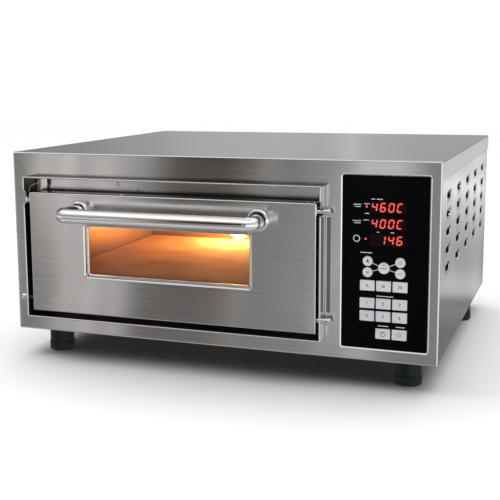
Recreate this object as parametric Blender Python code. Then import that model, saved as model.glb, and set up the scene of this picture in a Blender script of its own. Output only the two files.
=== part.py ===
"""Countertop deck oven: a stainless casing around one stone-floored baking chamber.

Every length below is in millimetres, in the casing's own coordinates: x from its left side,
y back from the face of its front plate, z up from its lower edge. to_world() turns them into
metres, with the origin under the middle of the oven, on the surface that its feet stand on.
The front faces -Y.
"""

import math

import bmesh
import bpy
from mathutils import Matrix, Vector

MM = 0.001

# Casing
BODY_WIDTH = 635.0
BODY_DEPTH = 550.0
BODY_HEIGHT = 270.0
SHEET = 1.2
GAP = 0.3
FRONT_RETURN = 8.0
COVER_LIP = 25.0
FLANGE = 12.0
SIDE_INSET = SHEET + GAP

# Feet
FOOT_HEIGHT = 40.0
FOOT_RADIUS = 19.5
FOOT_SKIRT = 13.0
STUD_RADIUS = 5.0
STUD_TOP = 18.0
FOOT_FRONT_INSET = 47.0
FOOT_FRONT_Y = 47.0
FOOT_BACK_INSET = 28.0
FOOT_BACK_Y = 432.0

# Door surround: the sleeve that stands out of the front plate and holds the door
SURROUND_X = (29.0, 482.0)
SURROUND_Z = (25.0, 236.0)
SURROUND_FRONT = -23.0
SURROUND_BACK = 18.2
DOOR_CENTRE_X = sum(SURROUND_X) / 2

# Baking chamber, inside faces
CHAMBER_X = (50.0, 461.0)
CHAMBER_Z = (50.0, 198.0)
CHAMBER_BACK = 380.0
LINER_SHEET = 1.0
MOUTH_X = (56.0, 455.0)
MOUTH_Z = (74.0, 198.0)
STONE_TOP = 88.0
STONE_THICKNESS = 15.0
ELEMENT_RADIUS = 3.5
ELEMENT_X = (100.0, 409.0)
UPPER_ELEMENT_Z = 186.0
LOWER_ELEMENT_Z = 60.0
LAMP_X = 222.0
LAMP_Z = 109.0
LAMP_RADIUS = 20.0
LAMP_HOLE = 14.0
PROBE_X = 330.0
PROBE_RADIUS = 2.5
UPPER_PROBE_Z = 172.0
LOWER_PROBE_Z = 100.0

# Door
DOOR_X = (36.0, 475.0)
DOOR_Z = (34.0, 213.0)
DOOR_FRONT = -18.0
DOOR_FLANGE_BACK = 2.0
DOOR_BACK = 14.0
DOOR_BACK_X = (48.0, 463.0)
DOOR_BACK_Z = (70.0, 204.0)
WINDOW_X = (126.0, 380.5)
WINDOW_Z = (92.0, 166.5)
WINDOW_REVEAL = 7.0
SEAL_THICKNESS = 3.0
PANE_THICKNESS = 4.0
FRONT_PANE_X = (112.0, 395.0)
FRONT_PANE_Z = (80.0, 178.0)
BACK_PANE_X = (106.0, 400.0)
BACK_PANE_Z = (76.0, 184.0)
BACK_PANE_Y = 3.5
BACK_WINDOW_X = (118.0, 388.0)
BACK_WINDOW_Z = (84.0, 176.0)
BACK_WINDOW_RETURN = 6.0
PIVOT_Y = -11.0
PIVOT_Z = 53.0
PIVOT_RADIUS = 4.0
CATCH_Y = -11.5
CATCH_Z = 201.0
CATCH_RADIUS = 3.5
CATCH_NOTCH = 6.0
CATCH_RELIEF_TOP = 216.0
CATCH_RELIEF_DEPTH = 6.0
PIVOT_REACH = {"left": 13.0, "right": 11.0}
CATCH_REACH = {"left": 1.0, "right": 10.0}

# Handle
HANDLE_RADIUS = 10.6
HANDLE_Y = -63.0
HANDLE_Z = 187.0
HANDLE_CENTRE_X = 257.5
HANDLE_LEG_SPREAD = 273.0
HANDLE_SPLAY = 7.0
HANDLE_STRAIGHT = 7.4
HANDLE_ELBOW = 16.6
HANDLE_BEND = 12.0
ROSETTE_PLAY = 1.6
HANDLE_STUD = 3.0
ROSETTE_RADIUS = 16.0
ROSETTE_HEIGHT = 6.0

# Control panel
BEZEL_X = (503.0, 622.5)
BEZEL_Z = (15.5, 252.5)
BEZEL_FRONT = -2.2
BEZEL_BORDER = 2.2
PANEL_CUT_X = (511.0, 614.0)
PANEL_CUT_Z = (24.0, 244.0)
OVERLAY_FRONT = -1.1
OVERLAY_THICKNESS = 0.8
KEY_FRONT = -1.9
KEY_BACK = 1.5
KEY_SIZE = (19.6, 14.0)
KEY_COLUMNS = (540.2, 561.9, 583.7)
KEY_ROWS = (103.8, 80.0, 62.6)
POWER_ROW = 39.2
ROUND_KEY_RADIUS = 6.8
CENTRE_KEY_RADIUS = 7.8
DISPLAY_X = (542.0, 590.0)
DISPLAY_ROWS = {"display_upper": 208.5, "display_lower": 186.8, "display_timer": 165.2}
DISPLAY_HEIGHT = 16.0
BOARD_FRONT = 8.0
BOARD_THICKNESS = 1.6

# Cooling fan and mains entry, at the back
FAN_X = 565.0
FAN_Z = 160.0
FAN_SIZE = 80.0
FAN_DEPTH = 25.0
FAN_BORE = 37.0
FAN_HUB = 16.0
FAN_BLADES = 7
GLAND_X = 590.0
GLAND_Z = 45.0
GLAND_REACH = 22.0
GLAND_THREAD = 9.7
GLAND_BORE = 4.5

# Wall between the baking chamber and the compartment that holds the controls
WALL_X = 494.0
WALL_Y = (13.0, BODY_DEPTH - 10.0)
WALL_SLOTS = 6
WALL_SLOT_FIRST_Y = 120.0
WALL_SLOT_PITCH = 60.0
WALL_SLOT_Z = 235.0

# Louvres, in both side panels
LOUVRE_COLUMNS = 5
LOUVRE_ROWS = 5
LOUVRE_FIRST_Y = 76.0
LOUVRE_PITCH_Y = 101.0
LOUVRE_TOP_Z = 218.5
LOUVRE_PITCH_Z = 24.8
LOUVRE_LENGTH = 36.0
LOUVRE_HEIGHT = 8.0

# The handle reaches furthest forward and the gland furthest back: the origin is midway
HANDLE_FRONT = HANDLE_Y - HANDLE_RADIUS
FRONT_Y = -(HANDLE_FRONT + BODY_DEPTH + GLAND_REACH) / 2

STAINLESS = ("brushed_stainless", (0.62, 0.61, 0.60), 0.32, 1.0)
LINER_STEEL = ("chamber_steel", (0.50, 0.47, 0.44), 0.38, 1.0)
CHROME = ("polished_chrome", (0.85, 0.85, 0.86), 0.08, 1.0)
PIN_STEEL = ("pin_steel", (0.72, 0.72, 0.73), 0.2, 1.0)
BLACK_GLOSS = ("black_gloss", (0.012, 0.013, 0.02), 0.12, 0.0)
KEY_PLASTIC = ("key_plastic", (0.72, 0.72, 0.78), 0.4, 0.0)
DISPLAY_RED = ("display_window", (0.05, 0.004, 0.004), 0.1, 0.0)
FOOT_PLASTIC = ("foot_plastic", (0.02, 0.035, 0.04), 0.5, 0.0)
STONE = ("cordierite", (0.62, 0.47, 0.33), 0.85, 0.0)
GLASS = ("door_glass", (0.85, 0.88, 0.86), 0.03, 0.0)
SEAL = ("seal_rubber", (0.02, 0.02, 0.02), 0.6, 0.0)
ELEMENT = ("element_sheath", (0.16, 0.11, 0.09), 0.45, 1.0)
WOOL = ("insulation_wool", (0.78, 0.74, 0.62), 0.95, 0.0)
CERAMIC = ("lamp_ceramic", (0.85, 0.83, 0.78), 0.5, 0.0)
BOARD = ("circuit_board", (0.02, 0.16, 0.07), 0.5, 0.0)
ALUMINIUM = ("relay_aluminium", (0.55, 0.56, 0.57), 0.45, 1.0)
FAN_PLASTIC = ("fan_plastic", (0.03, 0.03, 0.03), 0.45, 0.0)


# --- Placing and finishing -------------------------------------------------------------------


def to_world(point):
    """A casing coordinate in millimetres, as a world position in metres."""
    x, y, z = point
    return Vector((x - BODY_WIDTH / 2, y + FRONT_Y, z + FOOT_HEIGHT)) * MM


def clear_scene():
    for old in list(bpy.data.objects):
        bpy.data.objects.remove(old, do_unlink=True)


def material(spec):
    name, colour, roughness, metallic = spec
    made = bpy.data.materials.get(name)
    if made is None:
        made = bpy.data.materials.new(name)
        made.use_nodes = True
        shader = made.node_tree.nodes["Principled BSDF"]
        shader.inputs["Base Color"].default_value = (*colour, 1.0)
        shader.inputs["Roughness"].default_value = roughness
        shader.inputs["Metallic"].default_value = metallic
        made.diffuse_color = (*colour, 1.0)
    return made


def empty(name, point):
    """An axis that moving pieces hang from."""
    axis = bpy.data.objects.new(name, None)
    axis.location = to_world(point)
    bpy.context.collection.objects.link(axis)
    return axis


def build(name, bm, finish, origin=None, parent=None, smooth=False):
    """The object made from casing coordinates, with its origin at the given point."""
    if origin is None:
        middle = [(min(v.co[i] for v in bm.verts) + max(v.co[i] for v in bm.verts)) / 2 for i in range(3)]
        origin = Vector(middle)
    origin = Vector(origin)
    bmesh.ops.translate(bm, verts=bm.verts, vec=-origin)
    bmesh.ops.scale(bm, verts=bm.verts, vec=(MM, MM, MM))
    mesh = bpy.data.meshes.new(name)
    bm.to_mesh(mesh)
    bm.free()
    if smooth:
        mesh.shade_smooth()
        mesh.set_sharp_from_angle(angle=math.radians(35))
    mesh.materials.append(material(finish))
    made = bpy.data.objects.new(name, mesh)
    made.location = to_world(origin)
    bpy.context.collection.objects.link(made)
    if parent is not None:
        made.parent = parent
        made.location = to_world(origin) - parent.location
    return made


def sheet_metal(made, thickness=SHEET):
    """Thickens a folded surface on its inner side, so that its outer faces keep their sizes."""
    solidify = made.modifiers.new("sheet", "SOLIDIFY")
    solidify.thickness = thickness * MM
    solidify.offset = -1.0
    solidify.use_even_offset = True
    solidify.use_quality_normals = True


def tool(name, bm):
    """A hidden shape that others are cut by or joined to."""
    made = build(name, bm, STAINLESS)
    made.hide_render = True
    made.display_type = "WIRE"
    return made


def combine(made, other, operation):
    boolean = made.modifiers.new(other.name, "BOOLEAN")
    boolean.operation = operation
    boolean.solver = "EXACT"
    boolean.object = other


def soften(made, width, segments=1):
    bevel = made.modifiers.new("edges", "BEVEL")
    bevel.width = width * MM
    bevel.segments = segments
    bevel.limit_method = "ANGLE"
    bevel.angle_limit = math.radians(40)


# --- Shapes ----------------------------------------------------------------------------------


def add_box(bm, low, high):
    size = Vector(high) - Vector(low)
    middle = (Vector(high) + Vector(low)) / 2
    scale = Matrix.Diagonal((*size, 1.0))
    bmesh.ops.create_cube(bm, size=1.0, matrix=Matrix.Translation(middle) @ scale)


def box(low, high):
    bm = bmesh.new()
    add_box(bm, low, high)
    return bm


def boxes(corners):
    bm = bmesh.new()
    for low, high in corners:
        add_box(bm, low, high)
    return bm


def rectangle(us, vs):
    return [(us[0], vs[0]), (us[1], vs[0]), (us[1], vs[1]), (us[0], vs[1])]


def around(u, v, width, height):
    return rectangle((u - width / 2, u + width / 2), (v - height / 2, v + height / 2))


def circle(u, v, radius, sides=16):
    turn = 2 * math.pi / sides
    return [(u + radius * math.cos(i * turn), v + radius * math.sin(i * turn)) for i in range(sides)]


def facing_y(y):
    return lambda u, v: Vector((u, y, v))


def facing_x(x):
    return lambda u, v: Vector((x, u, v))


def facing_z(z):
    return lambda u, v: Vector((u, v, z))


def flat_face(outline, holes, place):
    """A flat face with holes, and the edges of each outline in turn."""
    bm = bmesh.new()
    loops = []
    for points in [outline, *holes]:
        verts = [bm.verts.new(place(u, v)) for u, v in points]
        loops.append([bm.edges.new((verts[i - 1], verts[i])) for i in range(len(verts))])
    bmesh.ops.triangle_fill(bm, use_beauty=True, use_dissolve=False, edges=bm.edges[:])
    return bm, loops


def plate(outline, holes, place, thickness):
    """A flat plate with holes, thickened along the given vector."""
    bm, _ = flat_face(outline, holes, place)
    raised = bmesh.ops.extrude_face_region(bm, geom=bm.faces[:])
    verts = [item for item in raised["geom"] if isinstance(item, bmesh.types.BMVert)]
    bmesh.ops.translate(bm, verts=verts, vec=Vector(thickness))
    bmesh.ops.recalc_face_normals(bm, faces=bm.faces)
    return bm


def fold(bm, edges, direction):
    """Folds a flange out of the given edges."""
    raised = bmesh.ops.extrude_edge_only(bm, edges=edges)
    verts = [item for item in raised["geom"] if isinstance(item, bmesh.types.BMVert)]
    bmesh.ops.translate(bm, verts=verts, vec=Vector(direction))


def edges_where(loop, test):
    """The edges whose two ends both pass the test."""
    return [edge for edge in loop if all(test(vert.co) for vert in edge.verts)]


def face_outwards(bm, panel_normal):
    """Turns a folded surface so that its flat panel faces the given way."""
    bmesh.ops.recalc_face_normals(bm, faces=bm.faces)
    widest = max(bm.faces, key=lambda face: face.calc_area() * abs(face.normal.dot(Vector(panel_normal))))
    if widest.normal.dot(Vector(panel_normal)) < 0:
        bmesh.ops.reverse_faces(bm, faces=bm.faces)


def turned(profile, centre, axis, sides, ring=False):
    """A turned piece: (radius, distance along axis) points, closed round a hole if ring is set."""
    bm = bmesh.new()
    along = Vector(axis)
    across = along.orthogonal().normalized()
    other = along.cross(across)
    rows = []
    for radius, distance in profile:
        middle = Vector(centre) + along * distance
        if radius == 0:
            rows.append([bm.verts.new(middle)])
            continue
        row = []
        for i in range(sides):
            angle = 2 * math.pi * (i + 0.5) / sides
            spoke = across * math.cos(angle) + other * math.sin(angle)
            row.append(bm.verts.new(middle + spoke * radius))
        rows.append(row)
    pairs = list(zip(rows, rows[1:]))
    if ring:
        pairs.append((rows[-1], rows[0]))
    for low, high in pairs:
        for i in range(sides):
            j = (i + 1) % sides
            corners = [low[i % len(low)], low[j % len(low)], high[j % len(high)], high[i % len(high)]]
            unique = list(dict.fromkeys(corners))
            bm.faces.new(unique)
    bmesh.ops.recalc_face_normals(bm, faces=bm.faces)
    return bm


def filleted(corners, radius, steps):
    """A path through the corners, each inner one rounded by an arc of the given radius."""
    points = [Vector(corners[0])]
    for before, corner, after in zip(corners, corners[1:], corners[2:]):
        corner = Vector(corner)
        back = (Vector(before) - corner).normalized()
        ahead = (Vector(after) - corner).normalized()
        half = back.angle(ahead) / 2
        start = corner + back * radius / math.tan(half)
        end = corner + ahead * radius / math.tan(half)
        centre = corner + (back + ahead).normalized() * radius / math.sin(half)
        first = start - centre
        sweep = first.angle(end - centre)
        turn = first.cross(end - centre).normalized()
        for step in range(steps + 1):
            points.append(centre + Matrix.Rotation(sweep * step / steps, 3, turn) @ first)
    points.append(Vector(corners[-1]))
    return points


def tube(path, radius, sides, up, leaving):
    """A round bar along a flat path, whose plane has the normal up, cut square to its first heading."""
    bm = bmesh.new()
    up = Vector(up)
    leaving = Vector(leaving)
    rows = []
    for i, point in enumerate(path):
        before = path[max(i - 1, 0)]
        after = path[min(i + 1, len(path) - 1)]
        heading = (after - before).normalized()
        if i == 0:
            heading = leaving
        elif i == len(path) - 1:
            heading = -leaving
        side = heading.cross(up)
        row = []
        for j in range(sides):
            angle = 2 * math.pi * j / sides
            row.append(bm.verts.new(point + (side * math.cos(angle) + up * math.sin(angle)) * radius))
        rows.append(row)
    for low, high in zip(rows, rows[1:]):
        for j in range(sides):
            k = (j + 1) % sides
            bm.faces.new((low[j], low[k], high[k], high[j]))
    bm.faces.new(rows[0])
    bm.faces.new(rows[-1])
    bmesh.ops.recalc_face_normals(bm, faces=bm.faces)
    return bm


# --- Casing ----------------------------------------------------------------------------------


def front_fascia():
    opening = rectangle(
        (SURROUND_X[0] - GAP, SURROUND_X[1] + GAP), (SURROUND_Z[0] - GAP, SURROUND_Z[1] + GAP)
    )
    panel_cut = rectangle(PANEL_CUT_X, PANEL_CUT_Z)
    outline = rectangle((0, BODY_WIDTH), (0, BODY_HEIGHT))
    bm, loops = flat_face(outline, [opening, panel_cut], facing_y(0))
    fold(bm, loops[0], (0, FRONT_RETURN, 0))
    face_outwards(bm, (0, -1, 0))
    sheet_metal(build("front_fascia", bm, STAINLESS))


def top_cover():
    front = FRONT_RETURN + GAP
    bm, loops = flat_face(rectangle((0, BODY_WIDTH), (front, BODY_DEPTH)), [], facing_z(BODY_HEIGHT))
    sides = edges_where(loops[0], lambda co: co.x < 1)
    sides += edges_where(loops[0], lambda co: co.x > BODY_WIDTH - 1)
    sides += edges_where(loops[0], lambda co: co.y > BODY_DEPTH - 1)
    fold(bm, sides, (0, 0, -COVER_LIP))
    face_outwards(bm, (0, 0, 1))
    sheet_metal(build("top_cover", bm, STAINLESS))


def louvre_slots():
    slots = []
    for column in range(LOUVRE_COLUMNS):
        for row in range(LOUVRE_ROWS):
            y = LOUVRE_FIRST_Y + column * LOUVRE_PITCH_Y
            z = LOUVRE_TOP_Z - row * LOUVRE_PITCH_Z
            slots.append(around(y, z, LOUVRE_LENGTH, LOUVRE_HEIGHT))
    return slots


def side_panel(name, outwards):
    outer = BODY_WIDTH - SIDE_INSET if outwards > 0 else SIDE_INSET
    depth = (FRONT_RETURN + 2 * GAP, BODY_DEPTH - 2 * SIDE_INSET)
    height = (0, BODY_HEIGHT - SIDE_INSET)
    bm, loops = flat_face(rectangle(depth, height), louvre_slots(), facing_x(outer))
    folded = edges_where(loops[0], lambda co: co.z < 1)
    folded += edges_where(loops[0], lambda co: co.y < depth[0] + 1)
    folded += edges_where(loops[0], lambda co: co.y > depth[1] - 1)
    fold(bm, folded, (-outwards * FLANGE, 0, 0))
    face_outwards(bm, (outwards, 0, 0))
    sheet_metal(build(name, bm, STAINLESS))


def back_panel():
    """Fan slots behind the control compartment, and the hole that the mains gland screws into."""
    outer = BODY_DEPTH - SIDE_INSET
    slot_pitch = 9.0
    slots = [around(FAN_X, FAN_Z + slot_pitch * step, 64.0, 4.5) for step in range(-4, 5)]
    gland_hole = circle(GLAND_X, GLAND_Z, GLAND_THREAD + GAP)
    outline = rectangle((SIDE_INSET, BODY_WIDTH - SIDE_INSET), (0, BODY_HEIGHT - SIDE_INSET))
    bm = plate(outline, [*slots, gland_hole], facing_y(outer), (0, -SHEET, 0))
    build("back_panel", bm, STAINLESS)


def base_pan():
    inset = SIDE_INSET + SHEET + GAP
    width = (inset, BODY_WIDTH - inset)
    depth = (FRONT_RETURN + 3 * GAP + SHEET, BODY_DEPTH - 2 * SIDE_INSET - SHEET - GAP)
    holes = [circle(x, y, STUD_RADIUS + 2 * GAP, 12) for x, y in foot_places().values()]
    bm, loops = flat_face(rectangle(width, depth), holes, facing_z(SHEET + GAP))
    fold(bm, loops[0], (0, 0, FLANGE))
    face_outwards(bm, (0, 0, -1))
    sheet_metal(build("base_pan", bm, STAINLESS))


def compartment_wall():
    """Keeps the chamber's heat off the electronics, and lets air through in one row of slots."""
    height = (2 * SHEET + 2 * GAP, BODY_HEIGHT - SIDE_INSET)
    starts = [WALL_SLOT_FIRST_Y + WALL_SLOT_PITCH * step for step in range(WALL_SLOTS)]
    slots = [around(y, WALL_SLOT_Z, 36.0, 6.0) for y in starts]
    bm, loops = flat_face(rectangle(WALL_Y, height), slots, facing_x(WALL_X))
    fold(bm, edges_where(loops[0], lambda co: co.z < height[0] + 1), (FLANGE, 0, 0))
    face_outwards(bm, (-1, 0, 0))
    sheet_metal(build("compartment_wall", bm, STAINLESS))


# --- Door surround and chamber ---------------------------------------------------------------


def pin_bore(name, y, z, radius):
    """A cylinder across the whole door, on the axis of a pair of pins."""
    start = SURROUND_X[0] - 5.0
    length = SURROUND_X[1] + 5.0 - start
    profile = [(0, 0), (radius, 0), (radius, length), (0, length)]
    return tool(name, turned(profile, (start, y, z), (1, 0, 0), 16))


def door_surround(pivot_bore):
    bm, loops = flat_face(
        rectangle(SURROUND_X, SURROUND_Z), [rectangle(MOUTH_X, MOUTH_Z)], facing_y(SURROUND_BACK)
    )
    fold(bm, loops[0], (0, SURROUND_FRONT - SURROUND_BACK, 0))
    face_outwards(bm, (0, 1, 0))
    made = build("door_surround", bm, STAINLESS)
    sheet_metal(made)
    low = (SURROUND_X[0] - 5, SURROUND_FRONT - 5, CATCH_Z - CATCH_NOTCH)
    high = (SURROUND_X[1] + 5, CATCH_Y + CATCH_RADIUS + 1, CATCH_Z + CATCH_NOTCH)
    notch = tool("catch_notch_cut", box(low, high))
    high = (SURROUND_X[1] + 5, SURROUND_FRONT + CATCH_RELIEF_DEPTH, CATCH_RELIEF_TOP)
    relief = tool("catch_relief_cut", box(low, high))
    combine(made, pivot_bore, "DIFFERENCE")
    combine(made, notch, "DIFFERENCE")
    combine(made, relief, "DIFFERENCE")


def chamber_liner():
    outer_x = (CHAMBER_X[0] - LINER_SHEET, CHAMBER_X[1] + LINER_SHEET)
    outer_z = (CHAMBER_Z[0] - LINER_SHEET, CHAMBER_Z[1] + LINER_SHEET)
    front = SURROUND_BACK + GAP
    back = CHAMBER_BACK + LINER_SHEET
    element_hole = ELEMENT_RADIUS + 2 * GAP
    holes = [circle(LAMP_X, LAMP_Z, LAMP_HOLE)]
    holes += [circle(x, z, element_hole, 8) for x in ELEMENT_X for z in (UPPER_ELEMENT_Z, LOWER_ELEMENT_Z)]
    holes += [circle(PROBE_X, z, PROBE_RADIUS + 2 * GAP, 8) for z in (UPPER_PROBE_Z, LOWER_PROBE_Z)]
    bm, loops = flat_face(rectangle(outer_x, outer_z), holes, facing_y(back))
    fold(bm, loops[0], (0, front - back, 0))
    face_outwards(bm, (0, 1, 0))
    made = build("chamber_liner", bm, LINER_STEEL)
    sheet_metal(made, LINER_SHEET)
    ledge_top = STONE_TOP - STONE_THICKNESS - GAP
    ledges = []
    for wall, inwards in ((CHAMBER_X[0], 1), (CHAMBER_X[1], -1)):
        edges = sorted((wall - inwards * LINER_SHEET / 2, wall + inwards * 12.0))
        ledges.append(((edges[0], front + 12, ledge_top - 2), (edges[1], CHAMBER_BACK - 12, ledge_top)))
    combine(made, tool("stone_ledges", boxes(ledges)), "UNION")


def baking_stone():
    margin = 1.5
    low = (CHAMBER_X[0] + margin, SURROUND_BACK + 4.0, STONE_TOP - STONE_THICKNESS)
    high = (CHAMBER_X[1] - margin, CHAMBER_BACK - margin, STONE_TOP)
    soften(build("baking_stone", box(low, high), STONE), 1.2)


def heating_element(name, z):
    """A hairpin rod of four runs, whose two ends leave through the chamber's back wall."""
    front_turn = 45.0
    back_turn = 345.0
    terminals = CHAMBER_BACK + 40.0
    pitch = (ELEMENT_X[1] - ELEMENT_X[0]) / 3
    x = [ELEMENT_X[0] + pitch * run for run in range(4)]
    corners = [
        (x[0], terminals, z),
        (x[0], front_turn, z),
        (x[1], front_turn, z),
        (x[1], back_turn, z),
        (x[2], back_turn, z),
        (x[2], front_turn, z),
        (x[3], front_turn, z),
        (x[3], terminals, z),
    ]
    path = filleted(corners, pitch / 2 - 4.0, 4)
    build(name, tube(path, ELEMENT_RADIUS, 8, (0, 0, 1), (0, -1, 0)), ELEMENT, smooth=True)


def insulation():
    """A wool jacket over the top and sides of the liner, and a slab under it, above the foot studs."""
    thickness = 22.0
    floor = STUD_TOP + 2.0
    clear = LINER_SHEET + 2 * GAP
    inner_x = (CHAMBER_X[0] - clear, CHAMBER_X[1] + clear)
    outer_x = (inner_x[0] - thickness, inner_x[1] + thickness)
    inner_top = CHAMBER_Z[1] + clear
    profile = [
        (outer_x[0], floor),
        (inner_x[0], floor),
        (inner_x[0], inner_top),
        (inner_x[1], inner_top),
        (inner_x[1], floor),
        (outer_x[1], floor),
        (outer_x[1], inner_top + 1.8 * thickness),
        (outer_x[0], inner_top + 1.8 * thickness),
    ]
    front = SURROUND_BACK + 2 * GAP
    jacket = plate(profile, [], facing_y(front), (0, CHAMBER_BACK - front, 0))
    build("insulation_jacket", jacket, WOOL)
    low = (inner_x[0] + GAP, front, floor)
    high = (inner_x[1] - GAP, CHAMBER_BACK, CHAMBER_Z[0] - clear)
    build("insulation_floor", box(low, high), WOOL)


def chamber_lamp():
    """A domed glass inside the back wall, and the ceramic holder behind it."""
    wall = CHAMBER_BACK - GAP
    lens = [(0, -14), (8, -13), (14, -9.5), (18, -4), (LAMP_RADIUS, -2.5), (LAMP_RADIUS, 0), (0, 0)]
    bm = turned(lens, (LAMP_X, wall, LAMP_Z), (0, 1, 0), 20)
    build("lamp_lens", bm, GLASS, smooth=True)
    holder = [(0, 30), (15, 30), (18, 27), (18, 0), (LAMP_HOLE, 0), (LAMP_HOLE, 22), (0, 22)]
    bm = turned(holder, (LAMP_X, CHAMBER_BACK + LINER_SHEET + GAP, LAMP_Z), (0, 1, 0), 16)
    build("lamp_socket", bm, CERAMIC, smooth=True)


def probe(name, z):
    """A sheathed thermocouple through the back wall."""
    inside = -25.0
    outside = 45.0
    tip = PROBE_RADIUS * 0.5
    profile = [(0, inside), (tip, inside), (PROBE_RADIUS, inside + tip)]
    profile += [(PROBE_RADIUS, outside), (0, outside)]
    bm = turned(profile, (PROBE_X, CHAMBER_BACK, z), (0, 1, 0), 8)
    build(name, bm, PIN_STEEL, smooth=True)


# --- Door ------------------------------------------------------------------------------------


def door_skin(axis, pivot_bore, catch_bore):
    window = rectangle(WINDOW_X, WINDOW_Z)
    legs = [circle(x, HANDLE_Z, HANDLE_STUD + 1.0, 8) for x in handle_legs()]
    bm, loops = flat_face(rectangle(DOOR_X, DOOR_Z), [window, *legs], facing_y(DOOR_FRONT))
    fold(bm, loops[0], (0, DOOR_FLANGE_BACK - DOOR_FRONT, 0))
    fold(bm, loops[1], (0, WINDOW_REVEAL, 0))
    face_outwards(bm, (0, -1, 0))
    made = build("door_skin", bm, STAINLESS, origin=pivot_point(), parent=axis)
    sheet_metal(made)
    combine(made, pivot_bore, "DIFFERENCE")
    combine(made, catch_bore, "DIFFERENCE")


def door_back(axis):
    """The inner pan, which faces the chamber's mouth and holds the inner glass."""
    window = rectangle(BACK_WINDOW_X, BACK_WINDOW_Z)
    rim = DOOR_FRONT + SHEET + 2.0
    bm, loops = flat_face(rectangle(DOOR_BACK_X, DOOR_BACK_Z), [window], facing_y(DOOR_BACK))
    fold(bm, loops[0], (0, rim - DOOR_BACK, 0))
    fold(bm, loops[1], (0, -BACK_WINDOW_RETURN, 0))
    face_outwards(bm, (0, 1, 0))
    sheet_metal(build("door_back", bm, STAINLESS, origin=pivot_point(), parent=axis))


def door_glazing(axis):
    """Two panes with air between, and the seal that the outer one is pressed against."""
    seal_front = DOOR_FRONT + WINDOW_REVEAL + GAP
    pane_front = seal_front + SEAL_THICKNESS + GAP
    outer = rectangle(FRONT_PANE_X, FRONT_PANE_Z)
    inner = rectangle((WINDOW_X[0] + SHEET, WINDOW_X[1] - SHEET), (WINDOW_Z[0] + SHEET, WINDOW_Z[1] - SHEET))
    seal = plate(outer, [inner], facing_y(seal_front), (0, SEAL_THICKNESS, 0))
    build("window_seal", seal, SEAL, origin=pivot_point(), parent=axis)
    panes = {
        "door_glass_front": (FRONT_PANE_X, FRONT_PANE_Z, pane_front),
        "door_glass_back": (BACK_PANE_X, BACK_PANE_Z, BACK_PANE_Y),
    }
    for name, (width, height, front) in panes.items():
        low = (width[0], front, height[0])
        high = (width[1], front + PANE_THICKNESS, height[1])
        build(name, box(low, high), GLASS, origin=pivot_point(), parent=axis)


def pivot_point():
    return (DOOR_CENTRE_X, PIVOT_Y, PIVOT_Z)


def handle_legs():
    return (HANDLE_CENTRE_X - HANDLE_LEG_SPREAD / 2, HANDLE_CENTRE_X + HANDLE_LEG_SPREAD / 2)


def handle(axis):
    """A bowed round bar, slightly wider across its bends than across its feet, on two rosettes."""
    left, right = handle_legs()
    foot = DOOR_FRONT - GAP
    corners = [
        (left, foot, HANDLE_Z),
        (left, foot - HANDLE_STRAIGHT, HANDLE_Z),
        (left - HANDLE_SPLAY, HANDLE_Y + HANDLE_ELBOW, HANDLE_Z),
        (left - HANDLE_SPLAY, HANDLE_Y, HANDLE_Z),
        (right + HANDLE_SPLAY, HANDLE_Y, HANDLE_Z),
        (right + HANDLE_SPLAY, HANDLE_Y + HANDLE_ELBOW, HANDLE_Z),
        (right, foot - HANDLE_STRAIGHT, HANDLE_Z),
        (right, foot, HANDLE_Z),
    ]
    path = filleted(corners, HANDLE_BEND, 5)
    bm = tube(path, HANDLE_RADIUS, 14, (0, 0, 1), (0, -1, 0))
    made = build("handle_bar", bm, CHROME, origin=pivot_point(), parent=axis, smooth=True)
    stud = [(0, 0), (HANDLE_STUD, 0), (HANDLE_STUD, 16), (0, 16)]
    for side, x in (("left", left), ("right", right)):
        bolt = turned(stud, (x, foot - 6, HANDLE_Z), (0, 1, 0), 8)
        combine(made, tool(f"handle_stud_{side}", bolt), "UNION")
    bore = HANDLE_RADIUS + ROSETTE_PLAY
    profile = [
        (bore, 0),
        (ROSETTE_RADIUS, 0),
        (ROSETTE_RADIUS, -ROSETTE_HEIGHT * 0.4),
        (ROSETTE_RADIUS - 1.6, -ROSETTE_HEIGHT * 0.85),
        (ROSETTE_RADIUS - 3.6, -ROSETTE_HEIGHT),
        (bore, -ROSETTE_HEIGHT * 0.8),
    ]
    for name, x in (("handle_rosette_left", left), ("handle_rosette_right", right)):
        bm = turned(profile, (x, foot, HANDLE_Z), (0, 1, 0), 20, ring=True)
        build(name, bm, CHROME, origin=pivot_point(), parent=axis, smooth=True)


def door_pin(name, outwards, y, z, radius, reach, axis):
    """A headed pin through the door's side flange and out past the surround, by reach."""
    flange = DOOR_X[1] if outwards > 0 else DOOR_X[0]
    inner = flange - outwards * (SHEET + GAP)
    end = SURROUND_X[1] + reach if outwards > 0 else SURROUND_X[0] - reach
    length = abs(end - inner)
    head = radius + 1.0
    profile = [(0, -2.5), (head, -2.5), (head, 0), (radius, 0)]
    profile += [(radius, length - 0.8), (radius - 0.8, length), (0, length)]
    bm = turned(profile, (inner, y, z), (outwards, 0, 0), 16)
    build(name, bm, PIN_STEEL, origin=pivot_point(), parent=axis, smooth=True)


def door():
    """Everything that swings about the two lower pins."""
    pivot_bore = pin_bore("pivot_bore", PIVOT_Y, PIVOT_Z, PIVOT_RADIUS + GAP)
    catch_bore = pin_bore("catch_bore", CATCH_Y, CATCH_Z, CATCH_RADIUS + GAP)
    door_surround(pivot_bore)
    axis = empty("door_axis", pivot_point())
    door_skin(axis, pivot_bore, catch_bore)
    door_back(axis)
    door_glazing(axis)
    handle(axis)
    for side, outwards in (("left", -1), ("right", 1)):
        door_pin(f"pivot_pin_{side}", outwards, PIVOT_Y, PIVOT_Z, PIVOT_RADIUS, PIVOT_REACH[side], axis)
        door_pin(f"catch_pin_{side}", outwards, CATCH_Y, CATCH_Z, CATCH_RADIUS, CATCH_REACH[side], axis)


# --- Control panel ---------------------------------------------------------------------------


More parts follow.
